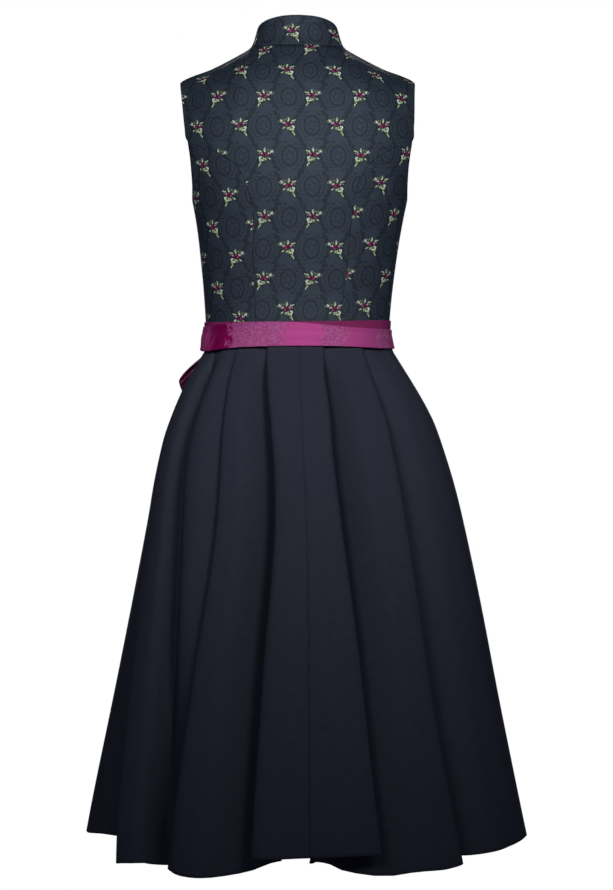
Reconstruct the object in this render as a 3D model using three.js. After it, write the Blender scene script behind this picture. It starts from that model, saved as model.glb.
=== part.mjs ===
// A high-collared, sleeveless midi dirndl in its worn, hollow form: princess-seamed bodice, stand
// collar, folded skirt, gathered apron, and the apron's ribbon tied in a bow at the left front.
// Millimetres, +Z up. The wearer faces +Y, so the back of the dress faces -Y and the wearer's
// right is +X. The origin lies between the shoulder seams, at mid-shoulder height.
import * as THREE from 'three';

// Driving dimensions
const WAIST = -366;          // height of the waist seam
const CLOTH = 2;             // bodice and collar wall
const SKIRT_CLOTH = 1.6;     // skirt and apron wall
const RIBBON_CLOTH = 1.2;    // one layer of ribbon
const SEAM = 0.3;            // gap between two pieces at a seam
const LAYER = 0.8;           // gap between two layers of cloth
const NECK_HALF_WIDTH = 68;  // collar seam, at the neck point
const NECK_BACK = 50;        // collar seam behind and before the origin
const NECK_FRONT = 64;
const NECK_BACK_HEIGHT = 41;
const NECK_FALL = 46;        // the collar seam falls this far from centre back to centre front
const NECK_FALL_POWER = 3.5;
const NECK_POINT_HEIGHT = NECK_BACK_HEIGHT - NECK_FALL * 0.5 ** NECK_FALL_POWER;
const SHOULDER_TIP = 166;
const SHOULDER_ROUND = 75;   // height over which the bodice rounds over to the shoulder seam
const SIDE = 90;             // turn of the side seams, in degrees from centre back
const CENTRE_SEAM = 1;       // turn of the skirt's centre-back seam
const SECTION = 0.82;        // below 1 the body's section is squarer than an ellipse

const columns = (names, rows) => rows.map((row) => Object.fromEntries(
  names.split(' ').map((name, k) => [name, row[k]])));

// Bodice section by height; above the waist it follows a general figure.
const TORSO = columns('height halfWidth backDepth frontDepth', [
  [-391, 131, 86, 94],
  [WAIST, 129, 84, 92],
  [-317, 132, 84, 96],
  [-261, 138, 89, 104],
  [-218, 144, 93, 109],
  [-176, 151, 97, 110],
  [-134, 161.5, 97, 103],
  [-97, 170, 95, 94],
  [-63, 172, 91, 85],
  [-16, 170, 82, 73],
  [36, 168, 68, 60],
]);

// Line of the shoulder seam, by distance from the middle.
const SHOULDER = columns('out height', [
  [0, 60], [45, 51], [61, 44], [NECK_HALF_WIDTH, NECK_POINT_HEIGHT], [95, 21.5], [123, 7.5],
  [150, -2.5], [SHOULDER_TIP, -11.5], [175, -27],
]);

// Princess seams from the waist up into the armhole, as turns from centre back.
const BACK_PRINCESS = columns('height left right', [
  [WAIST, -27, 27.5],
  [-330, -27, 28],
  [-290, -27.5, 29.5],
  [-250, -27, 30],
  [-215, -26, 30],
  [-180, -27, 30.5],
  [-150, -30, 33],
  [-128, -36, 39],
  [-110, -48, 51],
  [-98, -66.5, 67.5],
]);
const FRONT_PRINCESS = columns('height turn', [
  [WAIST, 151],
  [-330, 150],
  [-290, 148],
  [-250, 145.5],
  [-215, 143.5],
  [-180, 141],
  [-155, 137.5],
  [-135, 132],
  [-115, 126],
  [-98, 121],
]);

// Armhole from the princess seams up to the shoulder tip. Below them it is a quarter round down
// to the underarm.
const UNDERARM = -176;
const UPPER_ARMHOLE = columns('height back front', [
  [-78, 68.5, 120], [-55, 70, 118.5], [-33, 72.5, 116.5]]);
const ARMHOLE_STEPS = 6;

// Skirt section by height, without its folds.
const SKIRT = columns('height centre halfWidth backDepth frontDepth', [
  [-1110, 13, 318, 288, 276],
  [-1022, 11.5, 301, 272, 262],
  [-881, 11, 273, 246, 238],
  [-740, 10.5, 246.5, 222, 214],
  [-627, 8.5, 224.5, 200, 194],
  [-571, 6, 213, 188, 184],
  [-515, 3.5, 198, 170, 168],
  [-486, 3, 187.5, 158, 157],
  [-458, 1.5, 174.5, 142, 143],
  [-430, 0, 159.5, 124, 127],
  [-402, 0, 142, 103, 108],
  [-388, 0, 134, 91, 98],
  [WAIST, 0, 129, 84, 92],
]);

// Skirt folds: the turn of each valley at four heights, its half width in degrees, and its depth
// in mm and lean in degrees at the waist and hem. A lean draws the valley's floor under the edge
// on that side.
const FOLDS = columns('waist upper lower hem width waistDepth hemDepth waistLean hemLean', [
  [-84, -84, -74, -63.5, 5, 1, 24, 1, 10],
  [-58.5, -55.5, -47, -40.5, 3.6, 4, 24, -3, -5.5],
  [-46, -39.5, -37.5, -36.5, 3.6, 2, 8, 2, 4],
  [-27.5, -19, -22, -24, 5.5, 5, 40, 6, 15],
  [24, 22, 27, 30.5, 5.6, 5, 42, -6, -18],
  [51.5, 49.5, 51, 53.5, 6, 4, 36, -5, -12],
  [104, 106, 107, 108, 6, 3, 26, 3, 8],
  [126, 127, 128, 130, 5.5, 4, 30, 4, 10],
  [149, 150, 152, 153, 5.5, 4, 24, -3, -8],
  [172, 174, 174, 175, 6, 4, 30, 4, 10],
  [196, 195, 197, 199, 5.5, 4, 26, -4, -9],
  [219, 219, 222, 224, 6, 4, 30, -3, -10],
  [243, 242, 246, 248, 5.5, 3, 22, 3, 7],
]);
const UPPER = 0.27;          // fractions of the skirt's drop at the table's middle heights
const LOWER = 0.65;

// The hem rises and falls with the folds.
const HEM = columns('turn height', [
  [-90, -1067], [-80, -1064], [-72, -1060], [-64, -1062], [-58, -1076], [-54, -1084],
  [-44, -1085], [-37, -1091],
  [-33, -1095], [-27, -1096], [-23, -1083], [-14, -1068], [0, -1065], [20, -1063], [24, -1072],
  [30, -1086], [35, -1089], [43, -1086], [51, -1075], [59, -1072], [90, -1070], [180, -1068],
  [270, -1068],
]);
const SKIRT_ROWS = [1, 0.87, 0.73, 0.58, 0.44, 0.31, 0.2, 0.12, 0.075, 0.05, 0.034, 0.017, 0];

// Ribbon edges round the back, by turn: two layers, the outer one set lower on the right.
const RIBBON = columns('turn top bottom outerTop outerBottom', [
  [-135, -349, -385, -349, -385.5], [-112, -349, -386, -349, -385.5],
  [-90, -349, -388, -349, -390], [-45, -351, -384, -350, -387],
  [0, -351, -383, -352, -385], [30, -350, -383, -358, -385.5], [60, -348, -384, -360, -387],
  [90, -347, -385, -360, -389], [110, -347, -385, -358, -385.5], [130, -348, -385, -356, -385.5],
  [180, -349, -385, -352, -385.5], [225, -349, -385, -350, -385.5],
]);
const BAND_TOP = -347;       // apron waistband
const BAND_BOTTOM = -386;
const BAND_HALF_TURN = 76;
const APRON_HALF_TURN = 70;
const APRON_HEM = -1012;
const APRON_GATHERS = 13;
const BOW_TURN = 233;        // wearer's left front
const BOW_HEIGHT = -369;
const BUTTONS = 7;

const MATERIAL = {
  brocade: new THREE.MeshStandardMaterial({ color: 0x252d38, roughness: 0.45, metalness: 0 }),
  skirt: new THREE.MeshStandardMaterial({ color: 0x23242f, roughness: 0.9, metalness: 0 }),
  ribbon: new THREE.MeshStandardMaterial({ color: 0x8e1a5c, roughness: 0.5, metalness: 0 }),
  apron: new THREE.MeshStandardMaterial({ color: 0x7a2350, roughness: 0.55, metalness: 0 }),
};

const radians = THREE.MathUtils.degToRad;
const degrees = THREE.MathUtils.radToDeg;
const mix = THREE.MathUtils.lerp;
const ease = (t) => THREE.MathUtils.smoothstep(t, 0, 1);

// Reads a smooth curve through the column `name` of a table, at the value `at` of column `by`.
function along(rows, by, at, name) {
  const up = rows[0][by] < rows[rows.length - 1][by] ? rows : [...rows].reverse();
  const last = up.length - 1;
  const t = Math.min(Math.max(at, up[0][by]), up[last][by]);
  let i = 0;
  while (i < last - 1 && t > up[i + 1][by]) i += 1;
  const slope = (k) => {
    const low = up[Math.max(k - 1, 0)];
    const high = up[Math.min(k + 1, last)];
    return (high[name] - low[name]) / (high[by] - low[by]);
  };
  const span = up[i + 1][by] - up[i][by];
  const f = (t - up[i][by]) / span;
  const [f2, f3] = [f * f, f * f * f];
  return up[i][name] * (2 * f3 - 3 * f2 + 1) + up[i + 1][name] * (3 * f2 - 2 * f3)
    + span * (slope(i) * (f3 - 2 * f2 + f) + slope(i + 1) * (f3 - f2));
}

// A closed wall from a grid of outer points and a grid of inner points, rows of equal length.
function wall(outer, inner) {
  const wide = outer[0].length;
  const high = outer.length;
  const positions = [...outer.flat(), ...inner.flat()].flatMap((p) => [p.x, p.y, p.z]);
  const out = (i, j) => j * wide + i;
  const into = (i, j) => wide * high + j * wide + i;
  const triangles = [];
  const quad = (a, b, c, d) => triangles.push(a, b, c, a, c, d);
  for (let j = 0; j < high - 1; j += 1) {
    for (let i = 0; i < wide - 1; i += 1) {
      const rising = outer[j][i].distanceTo(outer[j + 1][i + 1]);
      const falling = outer[j][i + 1].distanceTo(outer[j + 1][i]);
      if (rising <= falling) {      // each quad is split along its shorter diagonal
        quad(out(i, j), out(i + 1, j), out(i + 1, j + 1), out(i, j + 1));
        quad(into(i, j), into(i, j + 1), into(i + 1, j + 1), into(i + 1, j));
      } else {
        quad(out(i + 1, j), out(i + 1, j + 1), out(i, j + 1), out(i, j));
        quad(into(i + 1, j), into(i, j), into(i, j + 1), into(i + 1, j + 1));
      }
    }
    quad(out(0, j), out(0, j + 1), into(0, j + 1), into(0, j));
    quad(out(wide - 1, j), into(wide - 1, j), into(wide - 1, j + 1), out(wide - 1, j + 1));
  }
  for (let i = 0; i < wide - 1; i += 1) {
    quad(out(i, 0), into(i, 0), into(i + 1, 0), out(i + 1, 0));
    quad(out(i, high - 1), out(i + 1, high - 1), into(i + 1, high - 1), into(i, high - 1));
  }
  const geometry = new THREE.BufferGeometry();
  geometry.setAttribute('position', new THREE.Float32BufferAttribute(positions, 3));
  geometry.setIndex(triangles);
  geometry.computeVertexNormals();
  return geometry;
}

// Draws a grid's edges in by half a seam, and gives it a wall from `lift` to `lift + thickness`
// outside its points. Every grid entry holds a point and its outward normal.
function panel(grid, { lift = -CLOTH, thickness = CLOTH, seam = SEAM / 2 } = {}) {
  const [high, wide] = [grid.length - 1, grid[0].length - 1];
  const drawn = grid.map((row) => row.map((g) => ({ point: g.point.clone(), normal: g.normal })));
  const draw = (cell, from, to) => {
    const step = to.point.clone().sub(from.point).setLength(seam);
    cell.point.add(step);
  };
  for (let j = 0; j <= high; j += 1) {
    draw(drawn[j][0], grid[j][0], grid[j][1]);
    draw(drawn[j][wide], grid[j][wide], grid[j][wide - 1]);
  }
  for (let i = 0; i <= wide; i += 1) {
    draw(drawn[0][i], grid[0][i], grid[1][i]);
    draw(drawn[high][i], grid[high][i], grid[high - 1][i]);
  }
  const shifted = (by) => drawn.map((row) => row.map(
    (g) => g.point.clone().addScaledVector(g.normal, by)));
  return wall(shifted(lift + thickness), shifted(lift));
}

// Normal of a surface point(turn, height), outwards.
function normalOf(surface, turn, height, step = 1) {
  const across = surface(turn + 0.5, height).sub(surface(turn - 0.5, height));
  const up = surface(turn, height + step).sub(surface(turn, height - step));
  return across.cross(up).normalize();
}

const shoulderHeight = (x) => along(SHOULDER, 'out', Math.abs(x), 'height');

// The body's surface above the waist.
function torso(turn, height) {
  const angle = radians(turn);
  const x = along(TORSO, 'height', height, 'halfWidth') * Math.sin(angle);
  const cosine = Math.cos(angle);
  const depth = along(TORSO, 'height', height, cosine < 0 ? 'frontDepth' : 'backDepth');
  const top = shoulderHeight(x);
  const w = THREE.MathUtils.clamp((height - top + SHOULDER_ROUND) / SHOULDER_ROUND, 0, 1);
  const rounding = (1 - w ** 3) ** (1 / 2.2);
  const bust = cosine < 0
    ? 12 * Math.exp(-(((Math.abs(x) - 82) / 46) ** 2) - (((height + 208) / 52) ** 2)) : 0;
  const y = -Math.sign(cosine) * (depth * Math.abs(cosine) ** SECTION * rounding + bust);
  return new THREE.Vector3(x, y, height);
}

// The skirt's surface without folds. At the waist it meets the body's.
function skirtBase(turn, height) {
  const angle = radians(turn);
  const cosine = Math.cos(angle);
  const depth = along(SKIRT, 'height', height, cosine < 0 ? 'frontDepth' : 'backDepth');
  return new THREE.Vector3(
    along(SKIRT, 'height', height, 'centre')
      + along(SKIRT, 'height', height, 'halfWidth') * Math.sin(angle),
    -Math.sign(cosine) * depth * Math.abs(cosine) ** SECTION,
    height,
  );
}

const outside = (turn, height) => (height > WAIST ? torso(turn, height) : skirtBase(turn, height));

// Bodice -------------------------------------------------------------------------------------

// Turn at which the body's surface has the distance x from the middle at a height.
function turnAt(x, height, front) {
  const turn = degrees(Math.asin(x / along(TORSO, 'height', height, 'halfWidth')));
  return front ? 180 - turn : turn;
}

// The collar seam: a point at an angle from centre back, and the cloth's normal along it.
function neckline(angle) {
  const [s, c] = [Math.sin(radians(angle)), Math.cos(radians(angle))];
  const fall = NECK_FALL * ((1 - c) / 2) ** NECK_FALL_POWER;
  return {
    point: new THREE.Vector3(
      NECK_HALF_WIDTH * s, -c * (c > 0 ? NECK_BACK : NECK_FRONT), NECK_BACK_HEIGHT - fall),
    normal: new THREE.Vector3(s * 0.62, -c * 0.62, 0.78).normalize(),
  };
}

// The shoulder seam at a distance x from the middle, and the cloth's normal there.
function shoulder(x) {
  const out = Math.abs(x);
  const slope = (shoulderHeight(out + 2) - shoulderHeight(out - 2)) / 4;
  const plain = new THREE.Vector3(-slope * Math.sign(x), 0, 1).normalize();
  const near = ease((out - NECK_HALF_WIDTH) / 40);
  return {
    point: new THREE.Vector3(x, 0, shoulderHeight(x)),
    normal: neckline(90 * Math.sign(x)).normal.lerp(plain, near).normalize(),
  };
}

const NECK_STEPS = 12;
const SHOULDER_STEPS = 4;
const FRONT_NECK_STEPS = 6;
const COLLAR_END = 177;      // the collar stops short of centre front
const CENTRE_FRONT_GAP = 0.2;
const SEAM_ROWS = BACK_PRINCESS.length - 1;

// Fills the (turn, height) patch between four edges; the top row ends on exact points in space.
function bodicePanel({ bottom, top, left, right, target }) {
  const [wide, high] = [bottom.length - 1, left.length - 1];
  const blend = (i, j, k) => {
    const [u, v] = [i / wide, j / high];
    return (1 - v) * bottom[i][k] + v * top[i][k] + (1 - u) * left[j][k] + u * right[j][k]
      - (1 - u) * (1 - v) * bottom[0][k] - u * (1 - v) * bottom[wide][k]
      - (1 - u) * v * top[0][k] - u * v * top[wide][k];
  };
  return left.map((_, j) => bottom.map((__, i) => {
    const [turn, height] = [blend(i, j, 0), blend(i, j, 1)];
    const point = torso(turn, height);
    const normal = normalOf(torso, turn, height);
    if (j === 0) normal.setZ(0).normalize();
    if (target) {
      const near = ease((j - SEAM_ROWS) / (high - SEAM_ROWS));
      const pull = target[i].point.clone().sub(torso(top[i][0], top[i][1]));
      point.addScaledVector(pull, near);
      normal.lerp(target[i].normal, near).normalize();
    }
    return { point, normal };
  }));
}

const spread = (count, from, to) => Array.from(
  { length: count + 1 }, (_, k) => mix(from, to, k / count));
const level = (count, from, to, height) => spread(count, from, to).map((turn) => [turn, height]);
const sideSeam = (turn) => spread(SEAM_ROWS, WAIST, UNDERARM).map((h) => [turn, h]);
const place = ({ point }, front) => [turnAt(point.x, point.z, front), point.z];

// Upper armhole turns, which carry a princess seam's edge on to the shoulder tip.
const upper = (side, name) => UPPER_ARMHOLE.map((row) => [
  name === 'front' ? (side > 0 ? row.front : 360 - row.front) : side * row.back, row.height]);

function backCentre() {
  const necks = spread(NECK_STEPS, -90, 90).map(neckline);
  const shoulders = spread(SHOULDER_STEPS, SHOULDER_TIP, NECK_HALF_WIDTH).slice(0, -1);
  const target = [
    ...shoulders.map((x) => shoulder(-x)), ...necks, ...shoulders.reverse().map(shoulder)];
  const top = target.map((t) => place(t, false));
  const bottom = level(target.length - 1, BACK_PRINCESS[0].left, BACK_PRINCESS[0].right, WAIST);
  const edge = (name, side) => [
    ...BACK_PRINCESS.map((row) => [row[name], row.height]), ...upper(side, 'back'),
    top[side < 0 ? 0 : top.length - 1]];
  return bodicePanel({ bottom, top, left: edge('left', -1), right: edge('right', 1), target });
}

// A side-back or side-front panel, from its princess seam to the side seam.
function sidePanel(side, front) {
  const inner = front
    ? FRONT_PRINCESS.map((row) => [side > 0 ? row.turn : 360 - row.turn, row.height])
    : BACK_PRINCESS.map((row) => [side > 0 ? row.right : row.left, row.height]);
  const seamTurn = side > 0 ? SIDE : (front ? 360 - SIDE : -SIDE);
  const outer = sideSeam(seamTurn);
  const last = inner[inner.length - 1];
  const armhole = spread(ARMHOLE_STEPS, 0, Math.PI / 2).map((round) => [
    mix(last[0], seamTurn, 1 - Math.cos(round)), mix(last[1], UNDERARM, Math.sin(round))]);
  const waist = level(armhole.length - 1, inner[0][0], seamTurn, WAIST);
  const edges = { bottom: waist, top: armhole, left: inner, right: outer };
  const ascending = inner[0][0] < seamTurn;
  return bodicePanel(ascending ? edges : {
    bottom: [...waist].reverse(), top: [...armhole].reverse(), left: outer, right: inner });
}

function frontPanel(side) {
  const necks = [...spread(FRONT_NECK_STEPS, 90, COLLAR_END), 180 - CENTRE_FRONT_GAP].map(
    (angle) => neckline(side * angle));
  const shoulders = spread(SHOULDER_STEPS, SHOULDER_TIP, NECK_HALF_WIDTH).slice(0, -1).map(
    (x) => shoulder(side * x));
  const target = [...shoulders, ...necks];
  const wrap = ([turn, height]) => [turn < 0 ? turn + 360 : turn, height];
  const top = target.map((t) => wrap(place(t, true)));
  const centre = top[top.length - 1][0];
  const mirrored = (turn) => (side > 0 ? turn : 360 - turn);
  const princess = FRONT_PRINCESS.map((row) => [mirrored(row.turn), row.height]);
  const armhole = [...princess, ...upper(side, 'front'), top[0]];
  const bottom = level(target.length - 1, princess[0][0], centre, WAIST);
  const neckHeight = top[top.length - 1][1];
  const rows = armhole.length - 1;
  const opening = armhole.map((row, j) => [
    centre, mix(WAIST, neckHeight, (row[1] - WAIST) / (armhole[rows][1] - WAIST))]);
  if (side > 0) return bodicePanel({ bottom, top, left: armhole, right: opening, target });
  return bodicePanel({
    bottom: bottom.reverse(), top: top.reverse(), left: opening, right: armhole,
    target: target.reverse() });
}

// Stand collar, open at centre front, its front corners rounded.
function collar() {
  const angles = [
    ...spread(FRONT_NECK_STEPS, -COLLAR_END, -90).slice(0, -1), ...spread(NECK_STEPS, -90, 90),
    ...spread(FRONT_NECK_STEPS, 90, COLLAR_END).slice(1)];
  const rows = [0, 0.18, 0.45, 0.75, 1];
  return rows.map((v) => angles.map((angle) => {
    const [s, c] = [Math.sin(radians(angle)), Math.cos(radians(angle))];
    const foot = neckline(angle);
    const corner = 9 * Math.max(0, (Math.abs(angle) - 150) / (COLLAR_END - 150)) ** 3;
    const rim = new THREE.Vector3(
      57 * s, (c > 0 ? -40 : -60) * c + 4, 82 - 42 * ((1 - c) / 2) ** 1.15 - corner);
    const radial = new THREE.Vector3(s, -c, 0);
    const point = foot.point.clone().lerp(rim, v);
    point.addScaledVector(radial, -2.2 * Math.sin(Math.PI * Math.sqrt(v)));
    const normal = foot.normal.clone().lerp(radial, ease(Math.min(1, v * 2.2))).normalize();
    return { point, normal };
  }));
}

// Skirt --------------------------------------------------------------------------------------

// Turn of a fold's valley at a fraction s of the skirt's drop.
function valleyTurn(fold, s) {
  const stops = columns('s turn', [
    [0, fold.waist], [UPPER, fold.upper], [LOWER, fold.lower], [1, fold.hem]]);
  return along(stops, 's', s, 'turn');
}

// The folded skirt: each valley pushes the cloth in, and draws it sideways by its lean.
function skirt(turn, s) {
  let [push, lean] = [0, 0];
  for (const fold of FOLDS) {
    const grown = s ** 0.8;
    for (const round of [-360, 0, 360]) {
      const off = (turn - valleyTurn(fold, s) - round) / fold.width;
      const share = Math.exp(-off * off);
      push += mix(fold.waistDepth, fold.hemDepth, grown) * share;
      lean += mix(fold.waistLean, fold.hemLean, grown) * share;
    }
  }
  const wrapped = turn > 270 ? turn - 360 : turn;
  const top = WAIST - SEAM;
  const height = mix(top, along(HEM, 'turn', wrapped, 'height'), s);
  const point = skirtBase(turn + lean, height);
  const axis = along(SKIRT, 'height', height, 'centre');
  const inward = new THREE.Vector3(axis - point.x, -point.y, 0).normalize();
  return point.addScaledVector(inward, push);
}

// Columns from one seam to the next: they follow the valleys between, closest beside them.
function skirtPanel(from, to, between) {
  const folds = FOLDS.filter((fold) => fold.hem > from && fold.hem < to);
  const nearEnd = [0.08, 0.18, 0.3, 0.46, 0.7, 1];
  const grid = SKIRT_ROWS.map((s) => {
    const knots = [from, ...folds.map((fold) => valleyTurn(fold, s)), to];
    const turns = [from];
    for (let k = 0; k < knots.length - 1; k += 1) {
      const first = k === 0;
      const last = k === knots.length - 2;
      const shares = last ? nearEnd : first
        ? [...nearEnd.slice(0, -1).reverse().map((f) => 1 - f), 1] : between;
      turns.push(...shares.map((f) => mix(knots[k], knots[k + 1], f)));
    }
    return turns.map((turn) => {
      const across = skirt(turn + 0.3, s).sub(skirt(turn - 0.3, s));
      const up = skirt(turn, Math.max(0, s - 0.01)).sub(skirt(turn, Math.min(1, s + 0.01)));
      const normal = across.cross(up).normalize();
      if (s === 0) normal.setZ(0).normalize();
      return { point: skirt(turn, s), normal };
    });
  });
  return panel(grid, { lift: -SKIRT_CLOTH, thickness: SKIRT_CLOTH });
}
const FINE = [0.07, 0.16, 0.28, 0.5, 0.72, 0.84, 0.93, 1];
const COARSE = [0.12, 0.5, 0.88, 1];

// Apron and ribbon ---------------------------------------------------------------------------

// A strip that lies outside the dress, from one turn to another and from `bottom(turn)` to
// `top(turn)`. All strips bend at the same turns, so their layers stay parallel.
function strip({ from, to, top, bottom, lift, thickness, rows = 3 }) {
  const bends = spread(108, -180, 360).filter((turn) => turn > from + 1 && turn < to - 1);
  const turns = [from, ...bends, to];
  const grid = spread(rows, 0, 1).map((v) => turns.map((turn) => {
    const height = mix(bottom(turn), top(turn), v);
    const normal = normalOf(outside, turn, height, 3).setZ(0).normalize();
    return { point: outside(turn, height), normal };
  }));
  return panel(grid, { lift, thickness, seam: 0 });
}

const ribbonEdge = (name) => (turn) => along(RIBBON, 'turn', turn, name);
const INNER_LIFT = LAYER;
const OUTER_LIFT = INNER_LIFT + RIBBON_CLOTH + LAYER;

// The gathered apron, sewn to the lower edge of its band. Its gathers merge as they fall.
function apron() {
  const count = APRON_GATHERS * 4;
  const rows = [1, 0.75, 0.5, 0.3, 0.16, 0.08, 0.03, 0];
  const grid = rows.map((s) => spread(count, -1, 1).map((u) => {
    const turn = 180 + u * APRON_HALF_TURN * mix(1, 0.93, s);
    const height = mix(BAND_BOTTOM - SEAM, APRON_HEM + 8 * u * u, s);
    const wave = (1 + Math.cos(Math.PI * APRON_GATHERS * (u + 0.03 * Math.sin(7 * u + 4 * s)))) / 2;
    const normal = normalOf(skirtBase, turn, height, 3);
    if (s === 0) normal.setZ(0).normalize();
    const lift = LAYER + 2.5 * ease(8 * s) + mix(1, 8, ease(s)) * wave;
    const point = skirtBase(turn, height).addScaledVector(normal, lift);
    return { point, normal };
  }));
  return panel(grid, { lift: 0, thickness: SKIRT_CLOTH, seam: 0 });
}

// A point of the bow: arc lengths across (+ towards centre front) and up from the knot, and its
// lift off the dress.
function bowPoint(across, up, lift) {
  const height = BOW_HEIGHT + up;
  const reach = along(SKIRT, 'height', Math.min(height, WAIST), 'halfWidth');
  const turn = BOW_TURN - degrees(across / reach);
  const normal = normalOf(outside, turn, height, 6);
  return { point: outside(turn, height).addScaledVector(normal, lift), normal };
}

// One loop: the ribbon leaves the knot, turns back on itself and returns under its own start.
// `heading` is the loop's direction in degrees, 0 towards centre front and 90 up.
function bowLoop({ heading, offset, length, opening, clear }) {
  const [dx, dy] = [Math.cos(radians(heading)), Math.sin(radians(heading))];
  const [steps, half] = [20, 21];
  const cell = (k, v) => {
    const t = mix(0.03, 0.97, k / steps) * 2 * Math.PI;
    const out = (1 - Math.cos(t)) / 2;
    const away = offset + length * out;
    const full = out * out;
    const lift = clear + opening * (mix(0.1, 0.55, full) + 0.5 * Math.sin(t) * mix(0.18, 1, full));
    const wide = half * v * mix(0.42, 1, ease(out * 1.4)) + 3 * Math.sin(9 * v) * (1 - out);
    return bowPoint(dx * away - dy * wide, dy * away + dx * wide, lift).point;
  };
  const rows = [-1, -0.5, 0, 0.5, 1];
  const outer = rows.map((v) => spread(steps, 0, steps).map((k) => cell(k, v)));
  const inner = outer.map((row, j) => row.map((p, k) => {
    const along2 = cell(Math.min(k + 0.5, steps), rows[j]).sub(cell(Math.max(k - 0.5, 0), rows[j]));
    const across = cell(k, Math.min(rows[j] + 0.2, 1)).sub(cell(k, Math.max(rows[j] - 0.2, -1)));
    return p.clone().addScaledVector(along2.cross(across).normalize(), -RIBBON_CLOTH);
  }));
  return wall(outer, inner);
}

// One free end, hanging from the knot with a slant-cut tip.
function bowTail({ start, drift, length, clear, ripple }) {
  const [steps, half] = [16, 21];
  const rows = spread(steps, 1, 0).map((s) => spread(4, -1, 1).map((v) => {
    const wide = half * v * mix(0.5, 1, ease(s * 4));
    const down = -13 - s * (length + 12 * v);
    const lift = clear + 10.5 * ease(s * 3) + ripple * Math.sin(s * 7 + v * 0.8) * s;
    const { point, normal } = bowPoint(start + drift * s - wide, down, lift);
    return { point, normal };
  }));
  return panel(rows, { lift: 0, thickness: RIBBON_CLOTH, seam: 0 });
}

// The knot: a rounded cushion of ribbon over both layers.
function bowKnot(clear) {
  const knot = new THREE.SphereGeometry(1, 16, 10);
  const position = knot.getAttribute('position');
  for (let k = 0; k < position.count; k += 1) {
    const [x, y, z] = [position.getX(k), position.getY(k), position.getZ(k)];
    const square = (t) => Math.sign(t) * Math.abs(t) ** 0.7;
    const p = bowPoint(-10 * square(x), 12 * square(y), clear + 9 + 9 * square(z)).point;
    position.setXYZ(k, p.x, p.y, p.z);
  }
  return knot;
}

// Assembly -----------------------------------------------------------------------------------

const dirndl = new THREE.Group();
function add(name, geometry, material) {
  const mesh = new THREE.Mesh(geometry, material);
  mesh.name = name;
  dirndl.add(mesh);
  return mesh;
}

add('back_centre', panel(backCentre()), MATERIAL.brocade);
for (const [name, side] of [['left', -1], ['right', 1]]) {
  add(`back_side_${name}`, panel(sidePanel(side, false)), MATERIAL.brocade);
  add(`front_side_${name}`, panel(sidePanel(side, true)), MATERIAL.brocade);
  add(`front_${name}`, panel(frontPanel(side)), MATERIAL.brocade);
}
add('collar', panel(collar()), MATERIAL.brocade);

add('skirt_back_left', skirtPanel(-SIDE, CENTRE_SEAM, FINE), MATERIAL.skirt);
add('skirt_back_right', skirtPanel(CENTRE_SEAM, SIDE, FINE), MATERIAL.skirt);
add('skirt_front', skirtPanel(SIDE, 360 - SIDE, COARSE), MATERIAL.skirt);

add('apron_panel', apron(), MATERIAL.apron);
add('apron_waistband', strip({
  from: 180 - BAND_HALF_TURN, to: 180 + BAND_HALF_TURN,
  top: () => BAND_TOP, bottom: () => BAND_BOTTOM,
  lift: INNER_LIFT, thickness: RIBBON_CLOTH }), MATERIAL.apron);
const BAND_RIGHT = 180 - BAND_HALF_TURN;
const BAND_LEFT = BAND_HALF_TURN - 180;
add('ribbon_back_inner', strip({
  from: BAND_LEFT + 0.5, to: BAND_RIGHT - 0.5,
  top: ribbonEdge('top'), bottom: ribbonEdge('bottom'),
  lift: INNER_LIFT, thickness: RIBBON_CLOTH }), MATERIAL.ribbon);
const RIBBON_JOIN = 97;      // the outer ribbon is parted here, at the right side
add('ribbon_back_outer', strip({
  from: BOW_TURN - 360 + 4, to: RIBBON_JOIN - 0.1,
  top: ribbonEdge('outerTop'), bottom: ribbonEdge('outerBottom'),
  lift: OUTER_LIFT, thickness: RIBBON_CLOTH }), MATERIAL.ribbon);
add('ribbon_front', strip({
  from: RIBBON_JOIN + 0.1, to: BOW_TURN - 4,
  top: ribbonEdge('outerTop'), bottom: ribbonEdge('outerBottom'),
  lift: OUTER_LIFT, thickness: RIBBON_CLOTH }), MATERIAL.ribbon);

const BOW_CLEAR = OUTER_LIFT + RIBBON_CLOTH + LAYER;
add('bow_knot', bowKnot(BOW_CLEAR - 0.6), MATERIAL.ribbon);
add('bow_loop_side', bowLoop({
  heading: 232, offset: 12.5, length: 84, opening: 17, clear: BOW_CLEAR + 3.9 }), MATERIAL.ribbon);
add('bow_loop_front', bowLoop({
  heading: -22, offset: 10.6, length: 88, opening: 18, clear: BOW_CLEAR + 10 }), MATERIAL.ribbon);
add('bow_tail_side', bowTail({
  start: 4, drift: 22, length: 300, clear: 4.7, ripple: 3 }), MATERIAL.ribbon);
add('bow_tail_front', bowTail({
  start: 15, drift: 75, length: 270, clear: 8.6, ripple: 3 }), MATERIAL.ribbon);

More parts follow.
